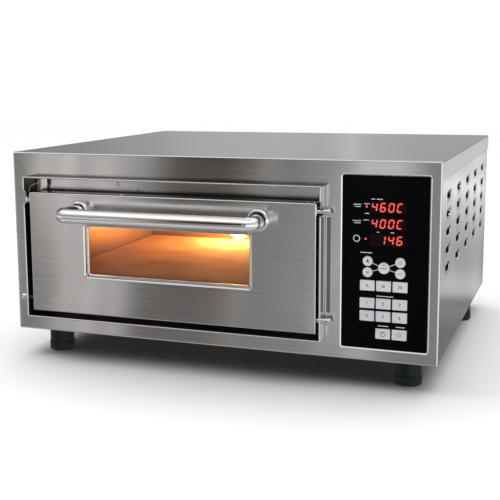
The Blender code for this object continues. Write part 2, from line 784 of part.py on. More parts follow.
def round_keys():
    """Name, centre and radius of each round key: four about a larger middle one."""
    middle_x = KEY_COLUMNS[1]
    middle_z = 128.0
    spread_x = 21.6
    spread_z = 7.5
    keys = {"key_centre": (middle_x, middle_z, CENTRE_KEY_RADIUS)}
    for row, up in (("upper", 1), ("lower", -1)):
        for side, out in (("left", -1), ("right", 1)):
            centre = (middle_x + out * spread_x, middle_z + 1.0 + up * spread_z)
            keys[f"key_{row}_{side}"] = (*centre, ROUND_KEY_RADIUS)
    return keys


def rectangular_keys():
    """Name and centre of each rectangular key, row by row."""
    rows = (
        ("key_program_a", "key_program_b", "key_30"),
        ("key_1", "key_2", "key_3"),
        ("key_4", "key_5", "key_6"),
    )
    keys = {}
    for names, z in zip(rows, KEY_ROWS):
        for name, x in zip(names, KEY_COLUMNS):
            keys[name] = (x, z)
    keys["key_power"] = (KEY_COLUMNS[1], POWER_ROW)
    keys["key_light"] = (KEY_COLUMNS[2], POWER_ROW)
    return keys


def control_bezel():
    outer = rectangle(BEZEL_X, BEZEL_Z)
    inner = rectangle(
        (BEZEL_X[0] + BEZEL_BORDER, BEZEL_X[1] - BEZEL_BORDER),
        (BEZEL_Z[0] + BEZEL_BORDER, BEZEL_Z[1] - BEZEL_BORDER),
    )
    depth = -GAP - BEZEL_FRONT
    build("control_bezel", plate(outer, [inner], facing_y(BEZEL_FRONT), (0, depth, 0)), STAINLESS)


def control_overlay():
    inset = BEZEL_BORDER + GAP
    outline = rectangle((BEZEL_X[0] + inset, BEZEL_X[1] - inset), (BEZEL_Z[0] + inset, BEZEL_Z[1] - inset))
    width, height = KEY_SIZE
    holes = [around(x, z, width + 2 * GAP, height + 2 * GAP) for x, z in rectangular_keys().values()]
    holes += [circle(x, z, radius + GAP, 16) for x, z, radius in round_keys().values()]
    window = (DISPLAY_X[0] - GAP, DISPLAY_X[1] + GAP)
    half = DISPLAY_HEIGHT / 2 + GAP
    holes += [rectangle(window, (z - half, z + half)) for z in DISPLAY_ROWS.values()]
    bm = plate(outline, holes, facing_y(OVERLAY_FRONT), (0, OVERLAY_THICKNESS, 0))
    build("control_overlay", bm, BLACK_GLOSS)


def displays():
    for name, z in DISPLAY_ROWS.items():
        low = (DISPLAY_X[0], OVERLAY_FRONT + GAP, z - DISPLAY_HEIGHT / 2)
        high = (DISPLAY_X[1], BOARD_FRONT - GAP, z + DISPLAY_HEIGHT / 2)
        build(name, box(low, high), DISPLAY_RED)


def key_profile(radius):
    """A round key's cap and the thinner stem behind it that reaches the switch."""
    stem = 3.0
    return [
        (0, KEY_FRONT),
        (radius - 0.5, KEY_FRONT),
        (radius, KEY_FRONT + 0.4),
        (radius, KEY_BACK),
        (stem, KEY_BACK),
        (stem, BOARD_FRONT - 1.0),
        (0, BOARD_FRONT - 1.0),
    ]


def keys():
    """Sixteen keys, each with its origin on the line that it travels along."""
    for name, (x, z, radius) in round_keys().items():
        bm = turned(key_profile(radius), (x, 0, z), (0, 1, 0), 16)
        build(name, bm, KEY_PLASTIC, origin=(x, KEY_FRONT, z), smooth=True)
    width, height = KEY_SIZE
    for name, (x, z) in rectangular_keys().items():
        bm = plate(around(x, z, width, height), [], facing_y(KEY_FRONT), (0, KEY_BACK - KEY_FRONT, 0))
        raise_stem(bm, x, z, 3.0)
        build(name, bm, KEY_PLASTIC, origin=(x, KEY_FRONT, z))


def raise_stem(bm, x, z, half):
    """Draws a square stem out of the back of a rectangular key."""
    bmesh.ops.dissolve_limit(bm, angle_limit=0.01, verts=bm.verts, edges=bm.edges)
    back = max(bm.faces, key=lambda face: face.calc_center_median().y)
    bmesh.ops.inset_region(bm, faces=[back], thickness=1.0)
    for vert in back.verts:
        vert.co.x = x + math.copysign(half, vert.co.x - x)
        vert.co.z = z + math.copysign(half, vert.co.z - z)
    raised = bmesh.ops.extrude_face_region(bm, geom=[back])
    bmesh.ops.delete(bm, geom=[back], context="FACES_ONLY")
    verts = [item for item in raised["geom"] if isinstance(item, bmesh.types.BMVert)]
    bmesh.ops.translate(bm, verts=verts, vec=Vector((0, BOARD_FRONT - 1.0 - KEY_BACK, 0)))
    bmesh.ops.recalc_face_normals(bm, faces=bm.faces)


def control_board():
    """The board behind the keys, on four posts that stand on the back of the front plate."""
    reach = 4.0
    width = (PANEL_CUT_X[0] - reach, PANEL_CUT_X[1] + reach)
    height = (PANEL_CUT_Z[0] - reach, PANEL_CUT_Z[1] + reach)
    low = (width[0], BOARD_FRONT, height[0])
    high = (width[1], BOARD_FRONT + BOARD_THICKNESS, height[1])
    made = build("control_board", box(low, high), BOARD)
    posts = []
    for x in (width[0] + reach / 2, width[1] - reach / 2):
        for z in (height[0] + 10, height[1] - 10):
            post_low = (x - 1.2, SHEET + GAP, z - 3)
            post_high = (x + 1.2, BOARD_FRONT + BOARD_THICKNESS / 2, z + 3)
            posts.append((post_low, post_high))
    combine(made, tool("board_posts", boxes(posts)), "UNION")


def power_relay():
    """The solid-state switch for the heating rods, whose finned block is screwed to the wall."""
    base = WALL_X + SHEET + GAP
    web = base + 6.0
    tip = base + 22.0
    start = 262.0
    pitch = 10.0
    fin = 3.0
    outline = [(base, start)]
    for step in range(6):
        y = start + pitch * step
        outline += [(tip, y), (tip, y + fin), (web, y + fin), (web, y + pitch)]
    outline = outline[:-2] + [(base, outline[-2][1])]
    block = plate(outline, [], facing_z(70.0), (0, 0, 90.0))
    build("power_relay", block, ALUMINIUM)


# --- Cooling fan and mains entry -------------------------------------------------------------


def fan_back():
    return BODY_DEPTH - SIDE_INSET - SHEET - GAP


def fan_frame():
    front = fan_back() - FAN_DEPTH
    outline = around(FAN_X, FAN_Z, FAN_SIZE, FAN_SIZE)
    bore = circle(FAN_X, FAN_Z, FAN_BORE, 24)
    made = build("fan_frame", plate(outline, [bore], facing_y(front), (0, FAN_DEPTH, 0)), FAN_PLASTIC)
    arm_front = fan_back() - 3.5
    arm_back = fan_back() - 0.5
    arm = 2.5
    reach = FAN_BORE + 1.5
    across = box((FAN_X - reach, arm_front, FAN_Z - arm), (FAN_X + reach, arm_back, FAN_Z + arm))
    upright = box((FAN_X - arm, arm_front + 0.2, FAN_Z - reach), (FAN_X + arm, arm_back - 0.2, FAN_Z + reach))
    seat = [(0, 0), (FAN_HUB, 0), (FAN_HUB, 2.2), (0, 2.2)]
    motor = turned(seat, (FAN_X, arm_front + 0.4, FAN_Z), (0, 1, 0), 16)
    for name, shape in (("fan_arm_across", across), ("fan_arm_upright", upright), ("fan_motor_seat", motor)):
        combine(made, tool(name, shape), "UNION")


def fan_blade(bm, angle):
    """One pitched blade, a thin twisted slab from inside the hub to near the bore."""
    front = fan_back() - FAN_DEPTH + 2.0
    back = fan_back() - 6.0
    thickness = math.radians(4)
    corners = []
    for radius, sweep in ((FAN_HUB - 2.0, 0.30), (FAN_BORE - 2.5, 0.22)):
        for y, along in ((front, -sweep), (back, sweep)):
            for side in (0.0, thickness):
                at = angle + along + side
                corner = (FAN_X + radius * math.cos(at), y, FAN_Z + radius * math.sin(at))
                corners.append(bm.verts.new(corner))
    for a, b, c, d in ((0, 1, 3, 2), (4, 6, 7, 5), (0, 4, 5, 1), (2, 3, 7, 6), (0, 2, 6, 4), (1, 5, 7, 3)):
        bm.faces.new((corners[a], corners[b], corners[c], corners[d]))


def fan_rotor():
    front = fan_back() - FAN_DEPTH + 1.0
    back = fan_back() - 5.0
    hub = [(0, front), (FAN_HUB - 2, front), (FAN_HUB, front + 2), (FAN_HUB, back), (0, back)]
    bm = turned(hub, (FAN_X, 0, FAN_Z), (0, 1, 0), 16)
    made = build("fan_rotor", bm, FAN_PLASTIC, origin=(FAN_X, front, FAN_Z))
    blades = bmesh.new()
    for blade in range(FAN_BLADES):
        fan_blade(blades, 2 * math.pi * blade / FAN_BLADES)
    bmesh.ops.recalc_face_normals(blades, faces=blades.faces)
    combine(made, tool("fan_blades", blades), "UNION")


def cable_gland():
    outside = BODY_DEPTH - SIDE_INSET + GAP
    end = BODY_DEPTH + GLAND_REACH
    profile = [
        (GLAND_BORE, outside - 14.0),
        (GLAND_THREAD, outside - 14.0),
        (GLAND_THREAD, outside),
        (13.5, outside),
        (13.5, outside + 6.0),
        (12.0, outside + 7.5),
        (12.0, end - 5.0),
        (8.5, end),
        (GLAND_BORE, end),
    ]
    bm = turned(profile, (GLAND_X, 0, GLAND_Z), (0, 1, 0), 16, ring=True)
    build("cable_gland", bm, FAN_PLASTIC, smooth=True)


# --- Feet ------------------------------------------------------------------------------------


def foot_places():
    """Where each foot stands: the back pair is set wider apart than the front pair."""
    places = {}
    for depth, inset, y in (
        ("front", FOOT_FRONT_INSET, FOOT_FRONT_Y),
        ("back", FOOT_BACK_INSET, FOOT_BACK_Y),
    ):
        places[f"foot_{depth}_left"] = (inset, y)
        places[f"foot_{depth}_right"] = (BODY_WIDTH - inset, y)
    return places


def feet():
    """Four moulded feet, each on a stud that screws up into the base."""
    skirt = -FOOT_HEIGHT + FOOT_SKIRT
    profile = [
        (0, STUD_TOP),
        (STUD_RADIUS, STUD_TOP),
        (STUD_RADIUS, -GAP),
        (FOOT_RADIUS - 1.0, -GAP),
        (FOOT_RADIUS - 1.0, skirt + 1.0),
        (FOOT_RADIUS, skirt),
        (FOOT_RADIUS, -FOOT_HEIGHT + 2.5),
        (FOOT_RADIUS - 2.5, -FOOT_HEIGHT),
        (0, -FOOT_HEIGHT),
    ]
    for name, (x, y) in foot_places().items():
        bm = turned(profile, (x, y, 0), (0, 0, 1), 18)
        build(name, bm, FOOT_PLASTIC, origin=(x, y, 0), smooth=True)


def main():
    clear_scene()
    front_fascia()
    top_cover()
    side_panel("side_panel_left", -1)
    side_panel("side_panel_right", 1)
    back_panel()
    base_pan()
    compartment_wall()
    chamber_liner()
    baking_stone()
    heating_element("element_upper", UPPER_ELEMENT_Z)
    heating_element("element_lower", LOWER_ELEMENT_Z)
    insulation()
    chamber_lamp()
    probe("probe_upper", UPPER_PROBE_Z)
    probe("probe_lower", LOWER_PROBE_Z)
    door()
    control_bezel()
    control_overlay()
    displays()
    keys()
    control_board()
    power_relay()
    fan_frame()
    fan_rotor()
    cable_gland()
    feet()


main()
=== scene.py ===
"""Looks of a countertop deck oven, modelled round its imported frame.

Lengths are millimetres in the casing's own coordinates, unless a name says otherwise: x from its
left side, y back from the face of its front plate, z up from its lower edge. The frame is in
metres, and CORNER is where the casing's coordinates start in it.
"""

import math
from collections import namedtuple

import bmesh
import bpy
from mathutils import Matrix, Vector


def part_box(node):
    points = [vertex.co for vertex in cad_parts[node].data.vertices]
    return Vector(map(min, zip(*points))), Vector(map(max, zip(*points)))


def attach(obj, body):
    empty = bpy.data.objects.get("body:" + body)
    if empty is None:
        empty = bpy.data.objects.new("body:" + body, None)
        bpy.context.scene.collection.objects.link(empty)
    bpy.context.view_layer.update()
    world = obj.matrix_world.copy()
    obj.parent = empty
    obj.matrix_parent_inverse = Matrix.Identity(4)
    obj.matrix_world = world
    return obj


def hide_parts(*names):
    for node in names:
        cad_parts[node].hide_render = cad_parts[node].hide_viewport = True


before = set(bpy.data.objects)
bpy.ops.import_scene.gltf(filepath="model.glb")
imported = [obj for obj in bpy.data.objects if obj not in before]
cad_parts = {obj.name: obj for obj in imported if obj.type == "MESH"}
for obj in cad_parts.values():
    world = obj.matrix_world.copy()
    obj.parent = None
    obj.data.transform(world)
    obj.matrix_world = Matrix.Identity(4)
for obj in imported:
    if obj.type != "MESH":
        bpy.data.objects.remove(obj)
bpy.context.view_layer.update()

MM = 0.001
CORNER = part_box("front_fascia")[0]
Extent = namedtuple("Extent", "x y z")


def extent(node):
    """A CAD node's box in the casing's millimetres."""
    low, high = ((corner - CORNER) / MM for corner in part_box(node))
    return Extent((low.x, high.x), (low.y, high.y), (low.z, high.z))


def mid(ends):
    """The middle of a (low, high) pair."""
    return sum(ends) / 2


FASCIA = extent("front_fascia")
COVER = extent("top_cover")
SURROUND = extent("door_surround")
DOOR = extent("door_skin")
BEZEL = extent("control_bezel")
OVERLAY = extent("control_overlay")
HANDLE = extent("handle_bar")
CATCH = extent("catch_pin_right")
SHEET = 1.2


# --- Materials ---------------------------------------------------------------------------------


def plug(tree, value, socket):
    """Sets an input to a value, or links it to the output given."""
    if isinstance(value, bpy.types.NodeSocket):
        tree.links.new(value, socket)
    else:
        socket.default_value = value


class Look:
    """A material round one Principled shader."""

    def __init__(self, name, colour, roughness, metallic=0.0, **sockets):
        self.material = bpy.data.materials.new(name)
        self.material.use_nodes = True
        self.tree = self.material.node_tree
        self.shader = self.tree.nodes["Principled BSDF"]
        self.colour = colour
        self.roughness = roughness
        self.set("Base Color", (*colour, 1.0))
        self.set("Roughness", roughness)
        self.set("Metallic", metallic)
        for socket, value in sockets.items():
            self.set(socket.replace("_", " "), value)
        self.material.diffuse_color = (*colour, 1.0)
        self.coordinates = self.node("TexCoord").outputs["Object"]

    def set(self, socket, value):
        self.shader.inputs[socket].default_value = value

    def node(self, kind, settings=None, **inputs):
        """A node of the given kind; an input is a value, or the output that it is linked to."""
        made = self.tree.nodes.new("ShaderNode" + kind)
        for name, value in (settings or {}).items():
            setattr(made, name, value)
        for name, value in inputs.items():
            plug(self.tree, value, made.inputs[name.replace("_", " ")])
        return made

    def noise(self, scale, detail=2.0, roughness=0.5):
        """Noise between 0 and 1, with this many features to a metre along each axis."""
        mapping = self.node("Mapping", Vector=self.coordinates, Scale=scale)
        made = self.node(
            "TexNoise", Vector=mapping.outputs["Vector"], Scale=1.0, Detail=detail, Roughness=roughness
        )
        return made.outputs["Fac"]

    def ranged(self, factor, low, high, start=0.3, end=0.7):
        """The factor's start to end, as low to high."""
        made = self.node("MapRange", Value=factor, From_Min=start, From_Max=end, To_Min=low, To_Max=high)
        return made.outputs["Result"]

    def blended(self, factor, first, second):
        """Colour from first to second."""
        made = self.node("Mix", {"data_type": "RGBA"})
        self.tree.links.new(factor, made.inputs["Factor"])
        for socket, value in ((made.inputs[6], first), (made.inputs[7], second)):
            plug(self.tree, (*value, 1.0) if isinstance(value, tuple) else value, socket)
        return made.outputs[2]

    def summed(self, first, second):
        made = self.node("Math", {"operation": "ADD"})
        self.tree.links.new(first, made.inputs[0])
        self.tree.links.new(second, made.inputs[1])
        return made.outputs[0]

    def use(self, socket, output):
        self.tree.links.new(output, self.shader.inputs[socket])

    def relief(self, height, metres, onto=None):
        """A bump of that height, over the bump given."""
        inputs = {"Height": height, "Distance": metres, "Strength": 1.0}
        if onto is not None:
            inputs["Normal"] = onto
        return self.node("Bump", **inputs).outputs["Normal"]


def shade(colour, factor):
    return tuple(min(channel * factor, 1.0) for channel in colour)


def brushed(name, colour, roughness, grain, across, spread=0.93, wave=0.4):
    """Sheet brushed along one axis: fine streaks, cloudy wear and the slight waves of thin sheet.

    grain is "x", "y" or "z". across is the axis that the shader's tangent is turned about, which
    lays the long side of each highlight across the grain.
    """
    look = Look(name, colour, roughness, 1.0, Anisotropic=spread)
    streak_scale = [900.0, 900.0, 900.0]
    streak_scale["xyz".index(grain)] = 4.0
    streaks = look.noise(streak_scale, detail=4.0, roughness=0.6)
    clouds = look.noise((9.0, 9.0, 9.0), detail=3.0)
    tone = look.blended(look.ranged(streaks, 0.0, 1.0, 0.3, 0.7), shade(colour, 0.93), shade(colour, 1.06))
    look.use("Base Color", look.blended(look.ranged(clouds, 0.0, 0.1), tone, shade(colour, 0.92)))
    scatter = look.summed(
        look.ranged(streaks, roughness - 0.02, roughness + 0.02), look.ranged(clouds, -0.015, 0.02)
    )
    look.use("Roughness", scatter)
    waves = look.relief(look.noise((3.5, 3.5, 4.5), detail=1.0), wave * 0.001)
    look.use("Normal", look.relief(streaks, 0.000002, onto=waves))
    tangent = look.node("Tangent", {"direction_type": "RADIAL", "axis": across})
    look.use("Tangent", tangent.outputs["Tangent"])
    return look.material


def polished(name, colour, roughness):
    """Bright metal with faint rub marks."""
    look = Look(name, colour, roughness, 1.0)
    rubs = look.noise((60.0, 240.0, 240.0), detail=4.0)
    look.use("Roughness", look.ranged(rubs, roughness * 0.7, roughness * 1.5))
    patches = look.noise((25.0, 25.0, 25.0))
    look.use("Base Color", look.blended(patches, shade(colour, 0.94), shade(colour, 1.03)))
    look.use("Normal", look.relief(rubs, 0.000002))
    return look.material


def turned_steel(name, colour, roughness):
    """Machined steel with fine rings across the axis of a pin or rod."""
    look = Look(name, colour, roughness, 1.0, Anisotropic=0.4)
    rings = look.noise((1500.0, 1500.0, 1500.0), detail=3.0)
    look.use("Roughness", look.ranged(rings, roughness * 0.8, roughness * 1.3))
    look.use("Base Color", look.blended(rings, shade(colour, 0.9), shade(colour, 1.05)))
    return look.material


def moulded(name, colour, roughness, grain=900.0, depth=0.00003, **sockets):
    """Moulded plastic or rubber: spark-eroded grain and slight unevenness."""
    look = Look(name, colour, roughness, **sockets)
    fine = look.noise((grain, grain, grain), detail=3.0)
    uneven = look.noise((30.0, 30.0, 30.0), detail=3.0)
    look.use("Base Color", look.blended(uneven, shade(colour, 0.85), shade(colour, 1.18)))
    scatter = look.ranged(fine, roughness - 0.05, roughness + 0.05)
    look.use("Roughness", look.summed(scatter, look.ranged(uneven, 0.0, 0.03)))
    look.use("Normal", look.relief(fine, depth))
    return look.material


def glass(name, colour, roughness):
    """Clear glass with faint smears."""
    look = Look(name, colour, roughness, Transmission_Weight=1.0, IOR=1.2)
    smears = look.noise((12.0, 12.0, 40.0), detail=4.0)
    look.use("Roughness", look.ranged(smears, roughness, roughness * 3.0))
    look.use("Base Color", look.blended(smears, colour, shade(colour, 0.97)))
    return look.material


def glowing(name, colour, strength, base=(0.02, 0.0, 0.0), roughness=0.3):
    """A lit surface, slightly brighter in places."""
    look = Look(name, base, roughness, Emission_Strength=strength, Specular_IOR_Level=0.1)
    patches = look.noise((180.0, 180.0, 180.0), detail=1.0)
    glow = look.blended(look.ranged(patches, 0.0, 1.0), shade(colour, 0.85), shade(colour, 1.0))
    look.use("Emission Color", glow)
    look.use("Base Color", look.blended(patches, base, shade(base, 1.3)))
    return look.material


def stone_look():
    """Cordierite: sandy, finely pored, scorched in patches."""
    colour = (0.60, 0.40, 0.22)
    look = Look("cordierite", colour, 0.88, Specular_IOR_Level=0.25)
    grains = look.noise((900.0, 900.0, 900.0), detail=4.0)
    patches = look.noise((14.0, 14.0, 14.0), detail=5.0, roughness=0.6)
    scorch = look.blended(look.ranged(patches, 0.0, 1.0, 0.45, 0.72), colour, (0.34, 0.17, 0.07))
    look.use("Base Color", look.blended(look.ranged(grains, 0.0, 0.5), scorch, (0.72, 0.52, 0.32)))
    look.use("Roughness", look.ranged(grains, 0.8, 0.96))
    look.use("Normal", look.relief(grains, 0.0002))
    return look.material


def wool_look():
    look = Look("insulation_wool", (0.78, 0.74, 0.62), 0.95, Specular_IOR_Level=0.2)
    fibres = look.noise((160.0, 900.0, 300.0), detail=5.0)
    look.use("Base Color", look.blended(fibres, (0.62, 0.57, 0.44), (0.86, 0.83, 0.73)))
    look.use("Normal", look.relief(fibres, 0.0015))
    return look.material


def board_look():
    """Lacquered circuit board: copper tracks under green resist."""
    look = Look("circuit_board", (0.02, 0.16, 0.07), 0.35)
    cells = look.node("TexBrick", Vector=look.coordinates, Scale=90.0)
    tracks = cells.outputs["Fac"]
    look.use("Base Color", look.blended(tracks, (0.015, 0.12, 0.05), (0.04, 0.26, 0.10)))
    look.use("Roughness", look.ranged(tracks, 0.3, 0.45, 0.0, 1.0))
    look.use("Normal", look.relief(tracks, 0.00004))
    return look.material


def film_look():
    """The gloss black overlay, with a trace of orange peel and dust."""
    look = Look("black_gloss", (0.0015, 0.002, 0.003), 0.12, Specular_IOR_Level=0.04)
    peel = look.noise((300.0, 300.0, 300.0), detail=2.0)
    haze = look.noise((20.0, 20.0, 20.0), detail=4.0)
    look.use("Roughness", look.ranged(haze, 0.1, 0.2))
    look.use("Base Color", look.blended(haze, (0.001, 0.0014, 0.0022), (0.002, 0.0026, 0.0038)))
    look.use("Normal", look.relief(peel, 0.000004))
    return look.material


STEEL = (0.62, 0.61, 0.60)
FRONT_STEEL = brushed("steel_front", STEEL, 0.10, "x", "X", spread=1.0)
TOP_STEEL = brushed("steel_top", STEEL, 0.15, "x", "X")
SIDE_STEEL = brushed("steel_side", (0.59, 0.60, 0.63), 0.07, "y", "Y", spread=0.5, wave=0.5)
# A darker copy of the lid's steel for its side lips: painted shade.
SHADED_LIP_STEEL = brushed("steel_lip_shaded", (0.42, 0.425, 0.45), 0.08, "y", "Y", spread=0.5, wave=0.5)
PLAIN_STEEL = brushed("steel_inner", shade(STEEL, 0.85), 0.34, "z", "Z", spread=0.7)
CHAMBER_STEEL = brushed("steel_chamber", (0.42, 0.30, 0.20), 0.42, "z", "Z", spread=0.7)
# Near-black steel as painted shade: on the base pan to darken the floor under the oven, and inside the
# sleeve round the door.
SHADE_STEEL = brushed("steel_painted_shade", (0.06, 0.052, 0.045), 0.45, "x", "X", spread=0.5)
# Pale warm steel for the tab above the door: a painted warm highlight.
TAB_HIGHLIGHT_STEEL = polished("steel_tab_highlight", (0.95, 0.87, 0.77), 0.14)
# Dark steel for a painted shadow: the strip beside the sleeve stands for the sleeve's shadow and reflection
# on the fascia.
SHADOW_STRIP_STEEL = brushed("steel_shadow_strip", (0.20, 0.195, 0.20), 0.2, "x", "X")
BRIGHT_STEEL = polished("steel_bright", (0.78, 0.77, 0.76), 0.14)
# Flat black for painted shadow: the pads behind the louvres and the line under the lid's lip.
SHADOW = moulded("painted_shadow_black", (0.006, 0.006, 0.006), 0.9, Specular_IOR_Level=0.1)
CHROME = polished("polished_chrome", (0.86, 0.85, 0.84), 0.05)
PIN_STEEL = turned_steel("pin_steel", (0.74, 0.74, 0.74), 0.18)
FILM = film_look()
WHITE_INK = moulded("white_ink", (0.86, 0.87, 0.90), 0.5, depth=0.000002)
BLACK_INK = moulded("black_ink", (0.03, 0.03, 0.04), 0.5, depth=0.000002)
GREY_INK = moulded("grey_ink", (0.20, 0.22, 0.23), 0.5, depth=0.000002)
RED_INK = moulded("red_ink", (0.55, 0.06, 0.08), 0.5, depth=0.000002)
KEY_PLASTIC = moulded("key_plastic", (0.84, 0.86, 0.93), 0.42, depth=0.000008)
FOOT_PLASTIC = moulded("foot_plastic", (0.006, 0.012, 0.015), 0.42, depth=0.00003, Specular_IOR_Level=0.25)
FAN_PLASTIC = moulded("fan_plastic", (0.02, 0.02, 0.022), 0.45)
GLAND_PLASTIC = moulded("gland_plastic", (0.022, 0.022, 0.024), 0.5)
SEAL_RUBBER = moulded("seal_rubber", (0.015, 0.014, 0.013), 0.65)
CERAMIC = moulded("lamp_ceramic", (0.80, 0.77, 0.70), 0.55, grain=500.0)
ALUMINIUM = turned_steel("relay_aluminium", (0.55, 0.56, 0.57), 0.4)
ELEMENT = moulded("element_sheath", (0.16, 0.10, 0.08), 0.5, Metallic=1.0)
DOOR_GLASS = glass("door_glass", (0.97, 0.98, 0.96), 0.01)
LAMP_GLASS = glowing("lamp_glass", (1.0, 0.80, 0.52), 9.0, base=(0.9, 0.8, 0.6))
DIGIT_RED = glowing("digit_red", (0.75, 0.0, 0.0), 1.0)
DIGIT_CORE = glowing("digit_core", (1.0, 0.30, 0.25), 1.0)
LED_RED = glowing("led_red", (1.0, 0.10, 0.08), 1.6)
WINDOW_RED = glowing("display_window", (0.15, 0.0, 0.0), 0.02, base=(0.004, 0.001, 0.001), roughness=0.2)
STONE = stone_look()
WOOL = wool_look()
BOARD = board_look()


# --- Making pieces -----------------------------------------------------------------------------

SHARP_DEGREES = 35.0


def settle(made):
    """Applies a piece's modifiers."""
    depsgraph = bpy.context.evaluated_depsgraph_get()
    mesh = bpy.data.meshes.new_from_object(made.evaluated_get(depsgraph))
    made.modifiers.clear()
    made.data = mesh


def add_object(name, bm, look):
    """An object from a mesh in casing millimetres."""
    bmesh.ops.transform(bm, matrix=Matrix.Translation(CORNER) @ Matrix.Scale(MM, 4), verts=bm.verts)
    mesh = bpy.data.meshes.new(name)
    bm.to_mesh(mesh)
    bm.free()
    mesh.materials.append(look)
    made = bpy.data.objects.new(name, mesh)
    bpy.context.scene.collection.objects.link(made)
    return made


def piece(name, bm, body, look, stands_for=(), sheet=0.0, cuts=None):
    """A piece that rides on a body, thickened inwards if it is sheet, and cut by a mesh if one is given."""
    made = add_object(name, bm, look)
    if sheet:
        solidify = made.modifiers.new("sheet", "SOLIDIFY")
        solidify.thickness = sheet * MM
        solidify.offset = -1.0
        solidify.use_even_offset = True
        settle(made)
    if cuts is not None:
        cutter = add_object(name + "_cutter", cuts, look)
        boolean = made.modifiers.new("cut", "BOOLEAN")
        boolean.object = cutter
        boolean.use_self = True
        settle(made)
        bpy.data.objects.remove(cutter)
    made.data.shade_smooth()
    made.data.set_sharp_from_angle(angle=math.radians(SHARP_DEGREES))
    weighted = made.modifiers.new("even_shading", "WEIGHTED_NORMAL")
    weighted.keep_sharp = True
    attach(made, body)
    if stands_for:
        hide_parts(*stands_for)
    return made


def carry(node, look, round_off=0.0):
    """A CAD node shown as it is, in its material, with its edges rounded off if asked."""
    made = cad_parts[node]
    made.data.materials.clear()
    made.data.materials.append(look)
    if round_off:
        weld = made.modifiers.new("weld", "WELD")
        weld.merge_threshold = 0.00001
        bevel = made.modifiers.new("edges", "BEVEL")
        bevel.width = round_off * MM
        bevel.segments = 2
        bevel.limit_method = "ANGLE"
        bevel.angle_limit = math.radians(40)
        bevel.harden_normals = True


# --- Shapes ------------------------------------------------------------------------------------


def rounded(us, vs, corner, inset=0.0, steps=5):
    """A round-cornered rectangle drawn in by inset, anticlockwise, always with as many points."""
    radius = max(corner - inset, 0.02)
    u = (us[0] + inset + radius, us[1] - inset - radius)
    v = (vs[0] + inset + radius, vs[1] - inset - radius)
    points = []
    middles = ((u[1], v[1], 0), (u[0], v[1], 90), (u[0], v[0], 180), (u[1], v[0], 270))
    for middle_u, middle_v, start in middles:
        for step in range(steps + 1):
            angle = math.radians(start + 90 * step / steps)
            points.append((middle_u + radius * math.cos(angle), middle_v + radius * math.sin(angle)))
    return points


def arc(sweep, steps):
    """The cosine and sine of each step from 0 to a sweep in radians."""
    angles = [sweep * step / steps for step in range(steps + 1)]
    return [(math.cos(angle), math.sin(angle)) for angle in angles]


def oval(u, v, radius, sides=48):
    turn = 2 * math.pi / sides
    return [(u + radius * math.cos(i * turn), v + radius * math.sin(i * turn)) for i in range(sides)]


def bridge(bm, first, second):
    """Quads between two rows with as many points, or a fan to a row of one."""
    count = max(len(first), len(second))
    for i in range(count):
        j = (i + 1) % count
        corners = [first[i % len(first)], first[j % len(first)]]
        corners += [second[j % len(second)], second[i % len(second)]]
        bm.faces.new(dict.fromkeys(corners))


def facing_front(y):
    return lambda u, v, depth=0.0: Vector((u, y + depth, v))


def facing_right(x):
    return lambda u, v, depth=0.0: Vector((x - depth, u, v))


def facing_left(x):
    return lambda u, v, depth=0.0: Vector((x + depth, u, v))


def facing_back(y):
    return lambda u, v, depth=0.0: Vector((u, y - depth, v))


def roll(radius, depth, steps=4):
    """Round a fold and down to the free edge, as (inset, depth) points that start on the flat face."""
    points = [(radius * (1 - s), radius * (1 - c)) for c, s in arc(math.pi / 2, steps)]
    return [*points, (0.0, depth)]


def rims(us, vs, corner, section, place):
    """A round-cornered row of points for each (inset, depth) of a section."""
    rows = []
    for inset, depth in section:
        rows.append([place(u, v, depth) for u, v in rounded(us, vs, corner, inset)])
    return rows


def fill(bm, edge_rows):
    """The flat face inside the first row, with the other rows as its holes."""
    edges = []
    for row in edge_rows:
        for i in range(len(row)):
            pair = (row[i - 1], row[i])
            edges.append(bm.edges.get(pair) or bm.edges.new(pair))
    return bmesh.ops.triangle_fill(bm, use_beauty=True, use_dissolve=False, edges=edges)


def point_out(bm, place):
    """Turns the mesh so that its largest flat face looks away from depth."""
    bmesh.ops.recalc_face_normals(bm, faces=bm.faces)
    outward = place(0, 0, 0) - place(0, 0, 1)
    widest = max(bm.faces, key=lambda face: face.calc_area() * abs(face.normal.dot(outward)))
    if widest.normal.dot(outward) < 0:
        bmesh.ops.reverse_faces(bm, faces=bm.faces)


def stamped(outline, holes, place, more_rows=()):
    """A flat face with rolled edges. outline and each hole are (us, vs, corner, path).

    more_rows are holes given as rows of points in space, the first on the flat face.
    """
    us, vs, corner, path = outline
    walls = [rims(us, vs, corner, path, place)]
    for us, vs, corner, path in holes:
        walls.append(rims(us, vs, corner, [(-inset, depth) for inset, depth in path], place))
    bm = bmesh.new()
    edge_rows = []
    for wall in (*walls, *more_rows):
        rows = [[bm.verts.new(point) for point in row] for row in wall]
        for first, second in zip(rows, rows[1:]):
            bridge(bm, first, second)
        edge_rows.append(rows[0])
    fill(bm, edge_rows)
    point_out(bm, place)
    return bm


def moulding(outlines, bm=None):
    """A closed ring: rows of points in space, each bridged to the next and the last to the first."""
    bm = bm or bmesh.new()
    rows = [[bm.verts.new(point) for point in row] for row in outlines]
    for first, second in zip(rows, [*rows[1:], rows[0]]):
        bridge(bm, first, second)
    bmesh.ops.recalc_face_normals(bm, faces=bm.faces)
    return bm


def frame_ring(us, vs, corner, section, place):
    """A round-cornered frame whose section is a closed loop of (inset, depth) points."""
    return moulding(rims(us, vs, corner, section, place))


